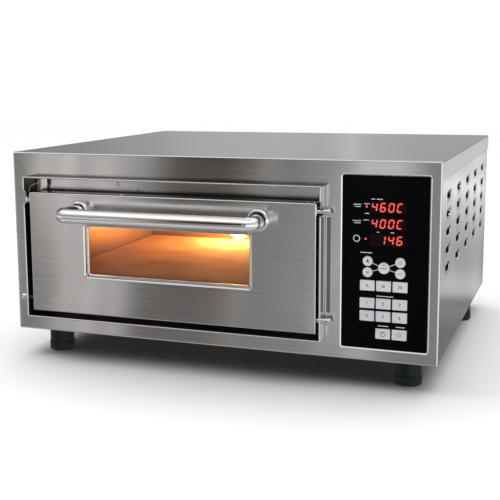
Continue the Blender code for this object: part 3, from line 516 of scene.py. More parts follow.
def block(bm, outlines):
    """Adds a solid whose rows of points are bridged and whose two ends are filled."""
    rows = [[bm.verts.new(point) for point in row] for row in outlines]
    faces = [bm.faces.new(rows[0]), bm.faces.new(rows[-1])]
    start = len(bm.faces)
    for first, second in zip(rows, rows[1:]):
        bridge(bm, first, second)
    bm.faces.ensure_lookup_table()
    bmesh.ops.recalc_face_normals(bm, faces=faces + [bm.faces[i] for i in range(start, len(bm.faces))])
    return bm


def pillow(us, vs, corner, place, height, edge, bm=None):
    """A slab down to a depth of height, with a flat face and a rounded front edge."""
    section = [(edge * 5.0, 0.0), (edge * 2.5, 0.0), *roll(edge, height)]
    return block(bm or bmesh.new(), rims(us, vs, corner, section, place))


def turned(profile, centre, axis, sides=48, bm=None, radius_of=None):
    """A turned piece from (radius, distance) points.

    radius_of(radius, distance, angle) gives the reach at each angle, where it isn't round.
    """
    bm = bm or bmesh.new()
    along = Vector(axis)
    across = along.orthogonal().normalized()
    other = along.cross(across)
    rows = []
    for radius, distance in profile:
        middle = Vector(centre) + along * distance
        if radius == 0:
            rows.append([bm.verts.new(middle)])
            continue
        row = []
        for i in range(sides):
            angle = 2 * math.pi * i / sides
            reach = radius_of(radius, distance, angle) if radius_of else radius
            row.append(bm.verts.new(middle + (across * math.cos(angle) + other * math.sin(angle)) * reach))
        rows.append(row)
    for first, second in zip(rows, rows[1:]):
        bridge(bm, first, second)
    if profile[0][0] and profile[-1][0]:
        bridge(bm, rows[-1], rows[0])
    bmesh.ops.recalc_face_normals(bm, faces=bm.faces)
    return bm


def filleted(corners, radius, steps):
    """A path through the corners, each inner one rounded by an arc."""
    points = [Vector(corners[0])]
    for before, corner, after in zip(corners, corners[1:], corners[2:]):
        corner = Vector(corner)
        back = (Vector(before) - corner).normalized()
        ahead = (Vector(after) - corner).normalized()
        half = back.angle(ahead) / 2
        start = corner + back * radius / math.tan(half)
        centre = corner + (back + ahead).normalized() * radius / math.sin(half)
        first = start - centre
        last = corner + ahead * radius / math.tan(half) - centre
        turn = first.cross(last).normalized()
        for step in range(steps + 1):
            points.append(centre + Matrix.Rotation(first.angle(last) * step / steps, 3, turn) @ first)
    points.append(Vector(corners[-1]))
    return points


def tube(path, radius, sides, up, leaving):
    """A round bar along a flat path with the normal up, cut square to leaving at both ends."""
    rows = []
    for i, point in enumerate(path):
        heading = (path[min(i + 1, len(path) - 1)] - path[max(i - 1, 0)]).normalized()
        if i == 0:
            heading = leaving
        elif i == len(path) - 1:
            heading = -leaving
        side = heading.cross(up)
        rows.append([point + (side * c + up * s) * radius for c, s in arc(2 * math.pi, sides)[:-1]])
    return block(bmesh.new(), rows)


def hexagon(corner, angle):
    """How far a hexagon whose corners lie at that radius reaches at an angle."""
    return corner * math.cos(math.pi / 6) / math.cos(angle % (math.pi / 3) - math.pi / 6)


def screw(bm, centre, axis, radius):
    """A button-head screw with a hexagon socket, standing on centre."""
    height = radius * 0.55
    socket = radius * 0.42

    def socketed(reach, distance, angle):
        return reach if reach > socket * 1.01 else hexagon(socket, angle)

    dome = [(radius * c, height * s) for c, s in arc(math.pi / 2, 5)[:-1]]
    recess = [(socket * 1.25, height), (socket, height), (socket, height * 0.35), (0, height * 0.3)]
    return turned([(0, 0), *dome, *recess], centre, axis, 36, bm, socketed)


# --- Casing ------------------------------------------------------------------------------------

PANEL_CUT_X = (BEZEL.x[0] + 8.0, BEZEL.x[1] - 8.5)
PANEL_CUT_Z = (BEZEL.z[0] + 8.5, BEZEL.z[1] - 8.5)
FOLD = 2.6
GAP = 0.3
FRONT_LIP = 10.0
PANEL_SCREW_INSET = 14.0
FAN_SCREW_INSET = 5.0


def casing_front():
    flat = [(0.0, 0.0)]
    outline = (FASCIA.x, FASCIA.z, 1.4, roll(FOLD, FASCIA.y[1], 6))
    opening_x = (SURROUND.x[0] - GAP, SURROUND.x[1] + GAP)
    opening_z = (SURROUND.z[0] - GAP, SURROUND.z[1] + GAP)
    holes = [(opening_x, opening_z, 1.0, flat), (PANEL_CUT_X, PANEL_CUT_Z, 1.0, flat)]
    bm = stamped(outline, holes, facing_front(0.0))
    piece("casing_front", bm, "casing", FRONT_STEEL, ["front_fascia"], SHEET)


def casing_top():
    """The lid: lips down the sides and back, a short one hidden inside the front edge."""
    front = COVER.y[0]
    lip = COVER.z[1] - COVER.z[0]

    def place(u, v, depth=0.0):
        shown = min(depth, FRONT_LIP) if v < front + 0.4 else depth
        return Vector((u, v, COVER.z[1] - shown))

    bm = stamped((COVER.x, COVER.y, 1.0, roll(FOLD, lip)), [], place)
    lid = piece("casing_top", bm, "casing", TOP_STEEL, ["top_cover"], SHEET)
    # The lid's side-facing faces take the darker lip steel, as painted shade.
    lid.data.materials.append(SHADED_LIP_STEEL)
    for face in lid.data.polygons:
        if abs(face.normal.x) > 0.8:
            face.material_index = 1


LOUVRE_FIRST_Y = 76.0
LOUVRE_PITCH_Y = 101.0
LOUVRE_TOP_Z = 218.5
LOUVRE_PITCH_Z = 24.8
LOUVRE_HALF_LENGTH = 18.0
LOUVRE_HALF_HEIGHT = 4.0


def louvre(place, y, z):
    """Rows round a pressed slot: its upper edge turns in, its lower edge stands out as a lip.

    Each step is how far out from the slot a row is, how far in its upper edge lies and how far
    out its lower edge stands.
    """
    us = (y - LOUVRE_HALF_LENGTH, y + LOUVRE_HALF_LENGTH)
    vs = (z - LOUVRE_HALF_HEIGHT, z + LOUVRE_HALF_HEIGHT)
    steps = (
        (4.2, 0.0, 0.0),
        (3.2, 0.2, 0.15),
        (2.0, 0.6, 0.5),
        (1.0, 0.9, 0.7),
        (0.4, 1.05, 0.5),
        (0.1, 1.15, 0.1),
        (0.0, 1.3, -0.9),
    )
    rows = []
    for outset, sunk, raised in steps:
        row = []
        for u, v in rounded(us, vs, LOUVRE_HALF_HEIGHT - 0.2, -outset, steps=6):
            fall = min(max((z + 1.5 - v) / 6.0, 0.0), 1.0)
            low = fall * fall * (3.0 - 2.0 * fall)
            row.append(place(u, v, sunk * (1.0 - low) - raised * low))
        rows.append(row)
    return rows


def casing_side(side, place):
    """A side panel with its louvres, with painted shadow as dark pads behind each of them and a dark line
    along the lid's lower edge.
    """
    panel = extent("side_panel_" + side)
    columns = [LOUVRE_FIRST_Y + LOUVRE_PITCH_Y * i for i in range(5)]
    heights = [LOUVRE_TOP_Z - LOUVRE_PITCH_Z * i for i in range(5)]
    middles = [(y, z) for y in columns for z in heights]
    louvres = [louvre(place, y, z) for y, z in middles]
    bm = stamped((panel.y, panel.z, 1.0, roll(FOLD, 12.0)), [], place, louvres)
    piece("casing_side_" + side, bm, "casing", SIDE_STEEL, ["side_panel_" + side], SHEET * 0.9)
    # A dark line under the lid's lip: painted shadow.
    shadow_line_y = (panel.y[0] + 3.0, panel.y[1] - 3.0)
    shadow_line_z = (COVER.z[0] - 1.5, COVER.z[0] + 0.3)
    bm = pillow(shadow_line_y, shadow_line_z, 0.2, place, 0.4, 0.05)
    piece("lid_shadow_line_" + side, bm, "casing", SHADOW)
    # Black pads behind each slot: painted shadow inside the louvres.
    shadow_pads = bmesh.new()
    for y, z in middles:
        us = (y - LOUVRE_HALF_LENGTH - 1.0, y + LOUVRE_HALF_LENGTH + 1.0)
        vs = (z - LOUVRE_HALF_HEIGHT - 1.0, z + LOUVRE_HALF_HEIGHT + 1.0)
        block(shadow_pads, rims(us, vs, LOUVRE_HALF_HEIGHT + 0.8, ((0.0, 2.6), (0.0, 3.0)), place))
    piece("louvre_shade_" + side, shadow_pads, "casing", SHADOW)


def casing():
    casing_front()
    casing_top()
    casing_side("left", facing_left(extent("side_panel_left").x[0]))
    casing_side("right", facing_right(extent("side_panel_right").x[1]))
    carry("back_panel", PLAIN_STEEL, 0.3)
    carry("compartment_wall", PLAIN_STEEL, 0.3)
    # The base pan is near black as painted shade under the oven.
    carry("base_pan", SHADE_STEEL, 0.3)
    carry("insulation_jacket", WOOL)
    carry("insulation_floor", WOOL)
    back_screws()


def back_screws():
    """Screws that hold the back panel, and the four of the fan."""
    back = extent("back_panel")
    fan = extent("fan_frame")
    bm = bmesh.new()
    for x in (back.x[0] + PANEL_SCREW_INSET, mid(back.x), back.x[1] - PANEL_SCREW_INSET):
        for z in (back.z[0] + PANEL_SCREW_INSET, back.z[1] - 32.0):
            screw(bm, (x, back.y[1], z), (0, 1, 0), 3.6)
    for x in (fan.x[0] + FAN_SCREW_INSET, fan.x[1] - FAN_SCREW_INSET):
        for z in (fan.z[0] + FAN_SCREW_INSET, fan.z[1] - FAN_SCREW_INSET):
            screw(bm, (x, back.y[1], z), (0, 1, 0), 3.2)
    piece("back_screws", bm, "casing", PIN_STEEL)


# --- Door surround -----------------------------------------------------------------------------

MOUTH_X = (56.0, 455.0)
MOUTH_Z = (74.0, 198.0)
CATCH_NOTCH = 6.0
CATCH_RELIEF_TOP = 216.0
CATCH_RELIEF_DEPTH = 6.0
HEM = 1.2


def surround():
    """The sleeve round the door, with a hemmed rim and a notch on each side for the catch pins."""
    back = SURROUND.y[1]
    depth = back - SURROUND.y[0]
    hem = [(HEM * (1 - c), depth - HEM + HEM * s) for c, s in arc(math.pi, 6)]
    path = [(1.5, 0.0), (0.4, 0.4), (0.0, 1.5), *hem, (2.4, depth - 8.0)]
    mouth = (MOUTH_X, MOUTH_Z, 2.0, [(0.0, 0.0)])
    bm = stamped((SURROUND.x, SURROUND.z, 1.6, path), [mouth], facing_back(back))
    cuts = bmesh.new()
    middle_y = mid(CATCH.y)
    middle_z = mid(CATCH.z)
    front = SURROUND.y[0]
    slots = (
        ((front - 6.0, middle_y + 4.6), (middle_z - 4.6, middle_z + 4.4), 4.2),
        ((front - 8.0, front + CATCH_RELIEF_DEPTH), (middle_z - CATCH_NOTCH, CATCH_RELIEF_TOP), 5.4),
    )
    for x in (SURROUND.x[0] - 5.0, SURROUND.x[1] - 8.0):
        for shift, (us, vs, corner) in enumerate(slots):
            ends = []
            for reach in (x - 0.1 * shift, x + 13.0 + 0.1 * shift):
                ends.append([Vector((reach, u, v)) for u, v in rounded(us, vs, corner)])
            block(cuts, ends)
    sleeve = piece("door_sleeve", bm, "casing", FRONT_STEEL, ["door_surround"], 1.1, cuts)
    darken_inside(sleeve)
    top_tab()
    catch_springs()
    draught_strip()


def darken_inside(sleeve):
    """The sleeve's walls beside and below the door get near-black steel on the inside, as painted shade in
    the gaps round the door.
    """
    sleeve.data.materials.append(SHADE_STEEL)
    low = CORNER + Vector((SURROUND.x[0] + 3.0, SURROUND.y[0] + 1.5, SURROUND.z[0] + 3.0)) * MM
    high = CORNER + Vector((SURROUND.x[1] - 3.0, SURROUND.y[1] - 0.6, SURROUND.z[1])) * MM
    for face in sleeve.data.polygons:
        middle = face.center
        inside = low.y < middle.y < high.y
        if inside and (
            (face.normal.x > 0.6 and middle.x < low.x)
            or (face.normal.x < -0.6 and middle.x > high.x)
            or (face.normal.z > 0.6 and middle.z < low.z)
        ):
            face.material_index = 1


TAB_SLANT = 0.19


def top_tab():
    """A folded tab at the left end of the gap above the door, pale and warm as a painted highlight, and a
    rivet further along.
    """
    left = SURROUND.x[0] + 2.2
    top = SURROUND.z[1] - 2.0
    back = SURROUND.y[1] - 1.6
    outline = [(left, top - 22.0), (left + 15.5, top - 22.0), (left + 15.5, top), (left + 7.0, top)]
    outline += [(left + 5.2, top - 4.0), (left + 1.2, top - 7.5)]
    rows = []
    for depth in (0.0, 0.3, 0.9):
        face = back - 3.0 + depth
        rows.append([Vector((u, face + TAB_SLANT * (u - left), v)) for u, v in outline])
    piece("sleeve_tab", block(bmesh.new(), rows), "casing", TAB_HIGHLIGHT_STEEL)
    rivet = bmesh.new()
    screw(rivet, (SURROUND.x[0] + 137.0, SURROUND.y[1] - 1.1, SURROUND.z[1] - 11.0), (0, -1, 0), 2.6)
    piece("sleeve_rivet", rivet, "casing", PIN_STEEL)


def catch_springs():
    """A bent spring wire on each side that snaps over the end of a catch pin."""
    middle_y = mid(CATCH.y)
    top = CATCH.z[1]
    for side, x in (("left", DOOR.x[0] - 3.4), ("right", DOOR.x[1] + 3.2)):
        corners = [
            (x, middle_y + 22.0, top + 17.0),
            (x, middle_y + 6.0, top + 16.0),
            (x, middle_y + 0.5, top + 8.0),
            (x, middle_y - 8.5, top + 2.5),
        ]
        path = filleted(corners, 3.0, 6)
        bm = tube(path, 0.55, 12, Vector((1, 0, 0)), Vector((0, -1, 0)))
        piece("catch_spring_" + side, bm, "casing", BRIGHT_STEEL)


def draught_strip():
    """A dark strip beside the sleeve, between its catch and pivot notches: a painted shadow and reflection
    of the sleeve on the fascia.
    """
    us = (SURROUND.x[1] + 2.2, SURROUND.x[1] + 7.4)
    vs = (extent("pivot_pin_right").z[1] + 4.0, CATCH.z[0] - 4.0)
    bm = pillow(us, vs, 1.2, facing_front(-0.35), 0.3, 0.25)
    piece("sleeve_shadow_strip", bm, "casing", SHADOW_STRIP_STEEL)


# --- Door --------------------------------------------------------------------------------------

WINDOW_X = (128.6, 380.5)
WINDOW_Z = (92.0, 166.5)
WINDOW_REVEAL = 7.0
HANDLE_SPLAY = 7.0
HANDLE_STRAIGHT = 7.4
HANDLE_ELBOW = 16.6
HANDLE_BEND = 12.0


def door():
    slope = [(3.8, 0.0), (3.4, 0.1), (1.4, 1.05), (1.0, 1.6), (0.6, 4.5), (0.0, 5.2)]
    window = (WINDOW_X, WINDOW_Z, 1.2, [*slope, (0.0, WINDOW_REVEAL)])
    outline = (DOOR.x, DOOR.z, 2.2, roll(FOLD, DOOR.y[1] - DOOR.y[0], 6))
    bm = stamped(outline, [window], facing_front(DOOR.y[0]))
    piece("door_front", bm, "door", FRONT_STEEL, ["door_skin"], SHEET)
    carry("door_back", PLAIN_STEEL, 0.3)
    carry("window_seal", SEAL_RUBBER, 0.4)
    window_bead()
    carry("door_glass_front", DOOR_GLASS)
    carry("door_glass_back", DOOR_GLASS)
    handle()
    pins()
    door_screws()


def window_bead():
    """A bright bead with round corners that holds the seal, just inside the window's sloping edge."""
    front = DOOR.y[0] + WINDOW_REVEAL - 1.4
    section = [(-0.5, 1.0), (-0.5, 0.4), (0.4, 0.0), (1.4, 0.0)]
    section += [(2.1, 0.5), (2.3, 1.2), (2.3, 3.0), (-0.5, 3.0)]
    bm = frame_ring(WINDOW_X, WINDOW_Z, 4.5, section, facing_front(front))
    piece("window_bead", bm, "door", BRIGHT_STEEL)


def handle():
    """A bowed bar on two domed rosettes."""
    bar = HANDLE
    radius = (bar.z[1] - bar.z[0]) / 2
    front = bar.y[0] + radius
    middle_z = mid(bar.z)
    rosettes = {side: extent("handle_rosette_" + side) for side in ("left", "right")}
    foot = rosettes["left"].y[1]
    left, right = (mid(rosettes[side].x) for side in ("left", "right"))
    corners = [
        (left, foot, middle_z),
        (left, foot - HANDLE_STRAIGHT, middle_z),
        (left - HANDLE_SPLAY, front + HANDLE_ELBOW, middle_z),
        (left - HANDLE_SPLAY, front, middle_z),
        (right + HANDLE_SPLAY, front, middle_z),
        (right + HANDLE_SPLAY, front + HANDLE_ELBOW, middle_z),
        (right, foot - HANDLE_STRAIGHT, middle_z),
        (right, foot, middle_z),
    ]
    path = filleted(corners, HANDLE_BEND, 14)
    bm = tube(path, radius, 56, Vector((0, 0, 1)), Vector((0, -1, 0)))
    piece("handle", bm, "door", CHROME, ["handle_bar"])
    for side, box in rosettes.items():
        outer = (box.x[1] - box.x[0]) / 2
        height = box.y[1] - box.y[0]
        rim = height * 0.22
        profile = [(radius + 0.5, 0.0), (outer, 0.0), (outer, rim)]
        for c, s in arc(math.pi * 0.62, 8)[1:-1]:
            profile.append((outer - 3.2 * (1 - c), rim + (height - rim) * s))
        profile.append((radius + 0.5, height * 0.62))
        bm = turned(profile, (mid(box.x), box.y[1], mid(box.z)), (0, -1, 0), 72)
        name = "handle_rosette_" + side
        piece("dome_" + name, bm, "door", CHROME, [name])


LONG_PIN = 16.0


def pins():
    """Turned pins with a head inside the door's flange and a chamfered tip outside the sleeve.

    A long one ends in a grooved cap as wide as its head.
    """
    for kind in ("pivot_pin", "catch_pin"):
        for side, outwards in (("left", -1), ("right", 1)):
            name = f"{kind}_{side}"
            box = extent(name)
            head = (box.z[1] - box.z[0]) / 2
            radius = head - 1.0
            inner, outer = (box.x[0], box.x[1]) if outwards > 0 else (box.x[1], box.x[0])
            length = abs(outer - inner)
            profile = [(0, 0), (head - 0.4, 0), (head, 0.4)]
            profile += [(head, 2.1), (head - 0.4, 2.5), (radius, 2.5)]
            if length > LONG_PIN:
                profile += [(radius, length - 7.5), (head - 0.3, length - 7.3), (head, length - 7.0)]
                profile += [(head, length - 4.6), (head - 0.7, length - 4.2), (head, length - 3.8)]
                radius = head
            profile += [(radius, length - 1.2), (radius - 0.35, length - 0.35)]
            profile += [(radius - 1.2, length), (0, length)]
            bm = turned(profile, (inner, mid(box.y), mid(box.z)), (outwards, 0, 0), 36)
            piece("bright_" + name, bm, "door", PIN_STEEL, [name])


def door_screws():
    """A button head and two small studs on the door's top flange."""
    bm = bmesh.new()
    for x, radius in ((DOOR.x[0] + 150.0, 3.6), (DOOR.x[0] + 425.0, 1.7), (DOOR.x[0] + 434.0, 1.7)):
        screw(bm, (x, DOOR.y[0] + 8.0, DOOR.z[1]), (0, 0, 1), radius)
    piece("door_screws", bm, "door", PIN_STEEL)


# --- Chamber -----------------------------------------------------------------------------------


def chamber():
    carry("chamber_liner", CHAMBER_STEEL)
    carry("baking_stone", STONE, 0.8)
    carry("element_upper", ELEMENT)
    carry("element_lower", ELEMENT)
    carry("lamp_lens", LAMP_GLASS)
    carry("lamp_socket", CERAMIC)
    carry("probe_upper", PIN_STEEL)
    carry("probe_lower", PIN_STEEL)


# --- Control panel -----------------------------------------------------------------------------

KEY_NODES = [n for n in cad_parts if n.startswith("key_")]
ROUND_KEYS = [n for n in KEY_NODES if n.startswith(("key_centre", "key_upper", "key_lower"))]
DISPLAYS = {"display_upper": "460C", "display_lower": "400C", "display_timer": " 146"}
KEY_CAP = 3.4
KEY_STEM = 3.0


def bezel():
    border = 2.2
    back = BEZEL.y[1]
    front = BEZEL.y[0]
    height = back - front
    section = [(0.0, height), (0.0, 1.2), (0.5, 0.3), (0.8, 0.0), (border, 1.3), (border, height)]
    bm = frame_ring(BEZEL.x, BEZEL.z, 4.0, section, facing_front(front))
    piece("panel_bezel", bm, "casing", BRIGHT_STEEL, ["control_bezel"])


def overlay():
    """The black film, with a hole round each key and display."""
    place = facing_front(OVERLAY.y[0])
    thickness = OVERLAY.y[1] - OVERLAY.y[0]
    path = [(0.0, 0.0), (0.0, thickness)]
    holes = []
    rows = []
    for name in (*KEY_NODES, *DISPLAYS):
        box = extent(name)
        if name in ROUND_KEYS:
            radius = (box.x[1] - box.x[0]) / 2 + GAP
            ring = oval(mid(box.x), mid(box.z), radius)
            rows.append([[place(u, v, depth) for u, v in ring] for _, depth in path])
            continue
        grown = [(low - GAP, high + GAP) for low, high in (box.x, box.z)]
        holes.append((*grown, 1.2 if name in KEY_NODES else 0.5, path))
    bm = stamped((OVERLAY.x, OVERLAY.z, 2.4, path), holes, place, rows)
    piece("panel_film", bm, "casing", FILM, ["control_overlay"], thickness * 0.9)


def keys():
    for name in KEY_NODES:
        box = extent(name)
        middle = (mid(box.x), box.y[0], mid(box.z))
        bm = bmesh.new()
        if name in ROUND_KEYS:
            radius = (box.x[1] - box.x[0]) / 2
            cap = [(0, 0.0), (radius * 0.7, 0.04), (radius - 0.6, 0.1), (radius - 0.2, 0.25)]
            cap += [(radius, 0.6), (radius, KEY_CAP)]
            stem = [(KEY_STEM, KEY_CAP), (KEY_STEM, 8.5), (0, 8.5)]
            turned(cap + stem, middle, (0, 1, 0), 56, bm)
        else:
            pillow(box.x, box.z, 1.0, facing_front(box.y[0]), KEY_CAP, 0.45, bm=bm)
        piece("cap_" + name, bm, name, KEY_PLASTIC, [name])


INK = 0.06


def shape(bm, points, y):
    """A flat printed patch inside the points."""
    block(bm, [[Vector((u, y + depth, v)) for u, v in points] for depth in (-INK, INK)])


def stroke(bm, start, end, width, y):
    """A straight printed line."""
    start, end = Vector(start), Vector(end)
    along = (end - start).normalized() * width / 2
    side = Vector((-along.y, along.x))
    corners = [start - side, end - side, end + side, start + side]
    shape(bm, corners, y)


def hoop(bm, u, v, radius, width, y):
    """A printed ring."""
    rows = []
    for edge, depth in ((radius, -INK), (radius, INK), (radius - width, INK), (radius - width, -INK)):
        rows.append([Vector((a, y + depth, b)) for a, b in oval(u, v, edge, 32)])
    moulding(rows, bm)


def lettering(bm, text, size, u, v, y):
    """Adds printed digits, centred on a point."""
    curve = bpy.data.curves.new("digits", "FONT")
    curve.body = text
    curve.size = size
    curve.align_x = "CENTER"
    curve.align_y = "CENTER"
    curve.extrude = INK
    curve.resolution_u = 3
    made = bpy.data.objects.new("digits", curve)
    bpy.context.scene.collection.objects.link(made)
    bpy.context.view_layer.update()
    depsgraph = bpy.context.evaluated_depsgraph_get()
    mesh = bpy.data.meshes.new_from_object(made.evaluated_get(depsgraph))
    mesh.transform(Matrix.Translation((u, y, v)) @ Matrix.Rotation(math.radians(90), 4, "X"))
    bm.from_mesh(mesh)
    bmesh.ops.remove_doubles(bm, verts=bm.verts, dist=0.001)
    bpy.data.objects.remove(made)


def key_prints():
    """Digits and plain signs on the keys."""
    numbers = {f"key_{n}": str(n) for n in (1, 2, 3, 4, 5, 6, 30)}
    for name in KEY_NODES:
        box = extent(name)
        u, v, y = mid(box.x), mid(box.z), box.y[0]
        bm = bmesh.new()
        look = BLACK_INK
        if name in numbers:
            lettering(bm, numbers[name], 6.2, u, v, y)
        elif name == "key_upper_left":
            shape(bm, [(u, v + 3.0), (u - 2.4, v - 2.4), (u, v - 1.0), (u + 2.4, v - 2.4)], y)
        elif name == "key_lower_left":
            for turn, way in enumerate(arc(math.pi, 3)[:-1]):
                tip = Vector(way) * 2.2
                stroke(bm, Vector((u, v)) - tip, Vector((u, v)) + tip, 0.6, y - INK * turn * 0.3)
            look = GREY_INK
        elif name == "key_upper_right":
            hoop(bm, u, v, 2.2, 0.5, y)
            look = GREY_INK
        elif name == "key_lower_right":
            for lift in (-0.9, 0.9):
                stroke(bm, (u - 2.6, v + lift), (u + 2.6, v + lift), 0.6, y)
            look = GREY_INK
        elif name == "key_centre":
            stroke(bm, (u - 4.0, v - 0.4), (u + 4.0, v - 0.4), 1.1, y)
            shape(bm, oval(u, v + 3.9, 0.9, 20), y)
            look = GREY_INK
        elif name == "key_program_a":
            stroke(bm, (u - 1.8, v + 1.6), (u + 1.8, v - 1.6), 1.2, y)
        elif name == "key_program_b":
            stroke(bm, (u - 1.8, v + 1.5), (u + 1.8, v - 1.5), 0.8, y)
            stroke(bm, (u - 1.8, v - 1.5), (u + 1.8, v + 1.5), 0.8, y - INK * 0.4)
        elif name == "key_power":
            hoop(bm, u, v - 0.5, 3.4, 0.8, y)
            stroke(bm, (u, v + 0.2), (u, v + 4.0), 0.9, y - INK * 0.4)
            look = RED_INK
        else:
            hoop(bm, u, v, 2.2, 0.6, y)
            for way in arc(2 * math.pi, 8)[:-1]:
                spoke = Vector(way)
                stroke(bm, Vector((u, v)) + spoke * 3.0, Vector((u, v)) + spoke * 4.2, 0.5, y)
            look = GREY_INK
        piece("print_" + name, bm, name, look)


def film_prints():
    """White lines between the round keys, a timer ring, and short rules where a label would be."""
    y = OVERLAY.y[0]
    bm = bmesh.new()
    centre = extent("key_centre")
    hub = Vector((mid(centre.x), mid(centre.z)))
    for name in ROUND_KEYS:
        if name == "key_centre":
            continue
        box = extent(name)
        end = Vector((mid(box.x), mid(box.z)))
        way = (end - hub).normalized()
        reach = (box.x[1] - box.x[0]) / 2 + GAP
        stroke(bm, hub + way * ((centre.x[1] - centre.x[0]) / 2 + GAP), end - way * reach, 0.9, y)
    left = BEZEL.x[0]
    timer = extent("display_timer")
    upper = extent("display_upper")
    lower = extent("display_lower")
    hoop(bm, left + 22.0, mid(timer.z) + 1.0, 4.6, 1.1, y)
    rules = [
        (left + 17.0, left + 28.0, mid(upper.z) + 3.0),
        (left + 19.0, left + 27.0, mid(upper.z) + 0.2),
        (left + 31.5, left + 39.0, mid(upper.z) + 4.2),
        (left + 32.5, left + 38.5, mid(upper.z) - 8.6),
        (left + 16.5, left + 27.5, mid(lower.z) + 3.0),
        (left + 18.5, left + 27.0, mid(lower.z) + 0.2),
        (left + 31.0, left + 38.0, mid(lower.z) + 4.4),
        (left + 41.0, left + 46.0, upper.z[1] + 2.6),
        (left + 48.0, left + 56.0, upper.z[1] + 2.6),
        (left + 49.0, left + 52.0, timer.z[1] + 2.4),
        (left + 67.0, left + 71.5, timer.z[1] + 2.4),
        (left + 27.5, left + 43.0, extent("key_upper_left").z[1] + 4.6),
        (left + 50.0, left + 72.0, extent("key_1").z[1] + 3.2),
        (left + 52.0, left + 66.0, extent("key_power").z[1] + 3.6),
        (left + 76.0, left + 88.0, extent("key_light").z[1] + 3.6),
    ]
    for start, end, z in rules:
        stroke(bm, (start, z), (end, z), 1.0, y)
    piece("film_prints", bm, "casing", WHITE_INK)
    leds = bmesh.new()
    for x, z in ((left + 35.0, mid(upper.z) + 0.5), (left + 34.0, mid(timer.z) + 1.0)):
        turned([(0, -0.35), (0.8, -0.25), (1.3, 0.0), (1.3, 0.1), (0, 0.1)], (x, y, z), (0, 1, 0), 20, leds)
    piece("lamps_red", leds, "casing", LED_RED)


SEGMENTS = {
    "a": ((0, 2), (1, 2)),
    "b": ((1, 2), (1, 1)),
    "c": ((1, 1), (1, 0)),
    "d": ((0, 0), (1, 0)),
    "e": ((0, 1), (0, 0)),
    "f": ((0, 2), (0, 1)),
    "g": ((0, 1), (1, 1)),
}
LIT = {"0": "abcdef", "1": "bc", "4": "bcfg", "6": "acdefg", "C": "adef", " ": ""}
DIGIT_LEAN = 0.14
DIGIT_WIDTH = 6.0
DIGIT_HALF_HEIGHT = 5.3


def segment(bm, start, end, width, y):
    """One bar of a digit, pointed at both ends."""
    start, end = Vector(start), Vector(end)
    along = (end - start).normalized()
    side = Vector((-along.y, along.x)) * width / 2
    tip = along * (width / 2 + 0.15)
    corners = [start + along * 0.15, start + tip + side, end - tip + side]
    corners += [end - along * 0.15, end - tip - side, start + tip - side]
    shape(bm, corners, y)


def digits():
    """Seven-segment digits, leaning to the right, just in front of the red windows."""
    for name, text in DISPLAYS.items():
        box = extent(name)
        carry(name, WINDOW_RED)
        width = box.x[1] - box.x[0] - 3.5
        pitch = width / len(text)
        halo = bmesh.new()
        core = bmesh.new()
        for index, character in enumerate(text):
            middle = box.x[0] + 0.8 + pitch * (index + 0.5)
            for key in LIT[character]:
                ends = []
                for column, row in SEGMENTS[key]:
                    lift = (row - 1) * DIGIT_HALF_HEIGHT
                    u = middle + (column - 0.5) * DIGIT_WIDTH + DIGIT_LEAN * lift
                    ends.append((u, mid(box.z) + lift))
                segment(halo, *ends, 2.8, box.y[0] - 0.12)
                segment(core, *ends, 0.9, box.y[0] - 0.2)
        piece("digits_" + name, halo, "casing", DIGIT_RED)
        piece("digit_cores_" + name, core, "casing", DIGIT_CORE)


def controls():
    bezel()
    overlay()
    keys()
    key_prints()
    film_prints()
    digits()
    carry("control_board", BOARD)
    carry("power_relay", ALUMINIUM, 0.3)


# --- Fan, gland and feet -----------------------------------------------------------------------


def fan_and_gland():
    carry("fan_frame", FAN_PLASTIC, 0.4)
    carry("fan_rotor", FAN_PLASTIC)
    box = extent("cable_gland")
    centre = (mid(box.x), 0.0, mid(box.z))
    start, end = box.y
    nut = start + 20.0

    def six_sided(radius, distance, angle):
        return radius if radius < 13.0 or distance > nut else hexagon(radius, angle)

    profile = [(4.5, start), (9.7, start), (9.7, start + 14.0)]
    profile += [(13.5, start + 14.0), (13.5, start + 19.6), (12.8, nut + 0.4)]
    profile += [(12.0 - 3.4 * (1 - c), end - 7.0 + 7.0 * s) for c, s in arc(math.pi / 2, 7)]
    profile += [(4.9, end - 0.2), (4.5, end - 1.0)]
    bm = turned(profile, centre, (0, 1, 0), 72, radius_of=six_sided)
    piece("ribbed_gland", bm, "casing", GLAND_PLASTIC, ["cable_gland"])


def feet():
    """Moulded feet: smooth above, ribbed for the fingers below, rounded at the floor."""
    for depth in ("front", "back"):
        for side in ("left", "right"):
            name = f"foot_{depth}_{side}"
            box = extent(name)
            outer = (box.x[1] - box.x[0]) / 2
            low, high = box.z
            skirt = low + 13.0

            def ribbed(radius, distance, angle):
                if radius < outer - 0.6 or distance > skirt:
                    return radius
                fade = min(1.0, (skirt - distance) / 1.5, (distance - low) / 2.0)
                return radius - 0.75 * max(fade, 0.0) * (0.5 + 0.5 * math.cos(angle * 24))

            profile = [(0, high), (5.0, high), (5.0, 1.2), (outer - 2.2, 1.2)]
            profile += [(outer - 1.3, 0.8), (outer - 1.0, 0.0), (outer - 1.0, skirt + 1.4)]
            profile += [(outer - 0.7, skirt + 0.6), (outer, skirt), (outer, skirt - 1.5)]
            profile += [(outer, low + 6.0), (outer, low + 3.0)]
            for c, s in arc(math.pi / 2, 5)[1:]:
                profile.append((outer - 3.0 * (1 - c), low + 3.0 - 3.0 * s))
            profile.append((0, low))
            centre = (mid(box.x), mid(box.y), 0.0)
            bm = turned(profile, centre, (0, 0, 1), 144, radius_of=ribbed)
            piece("ribbed_" + name, bm, name, FOOT_PLASTIC, [name])


# --- Camera, floor and light -------------------------------------------------------------------


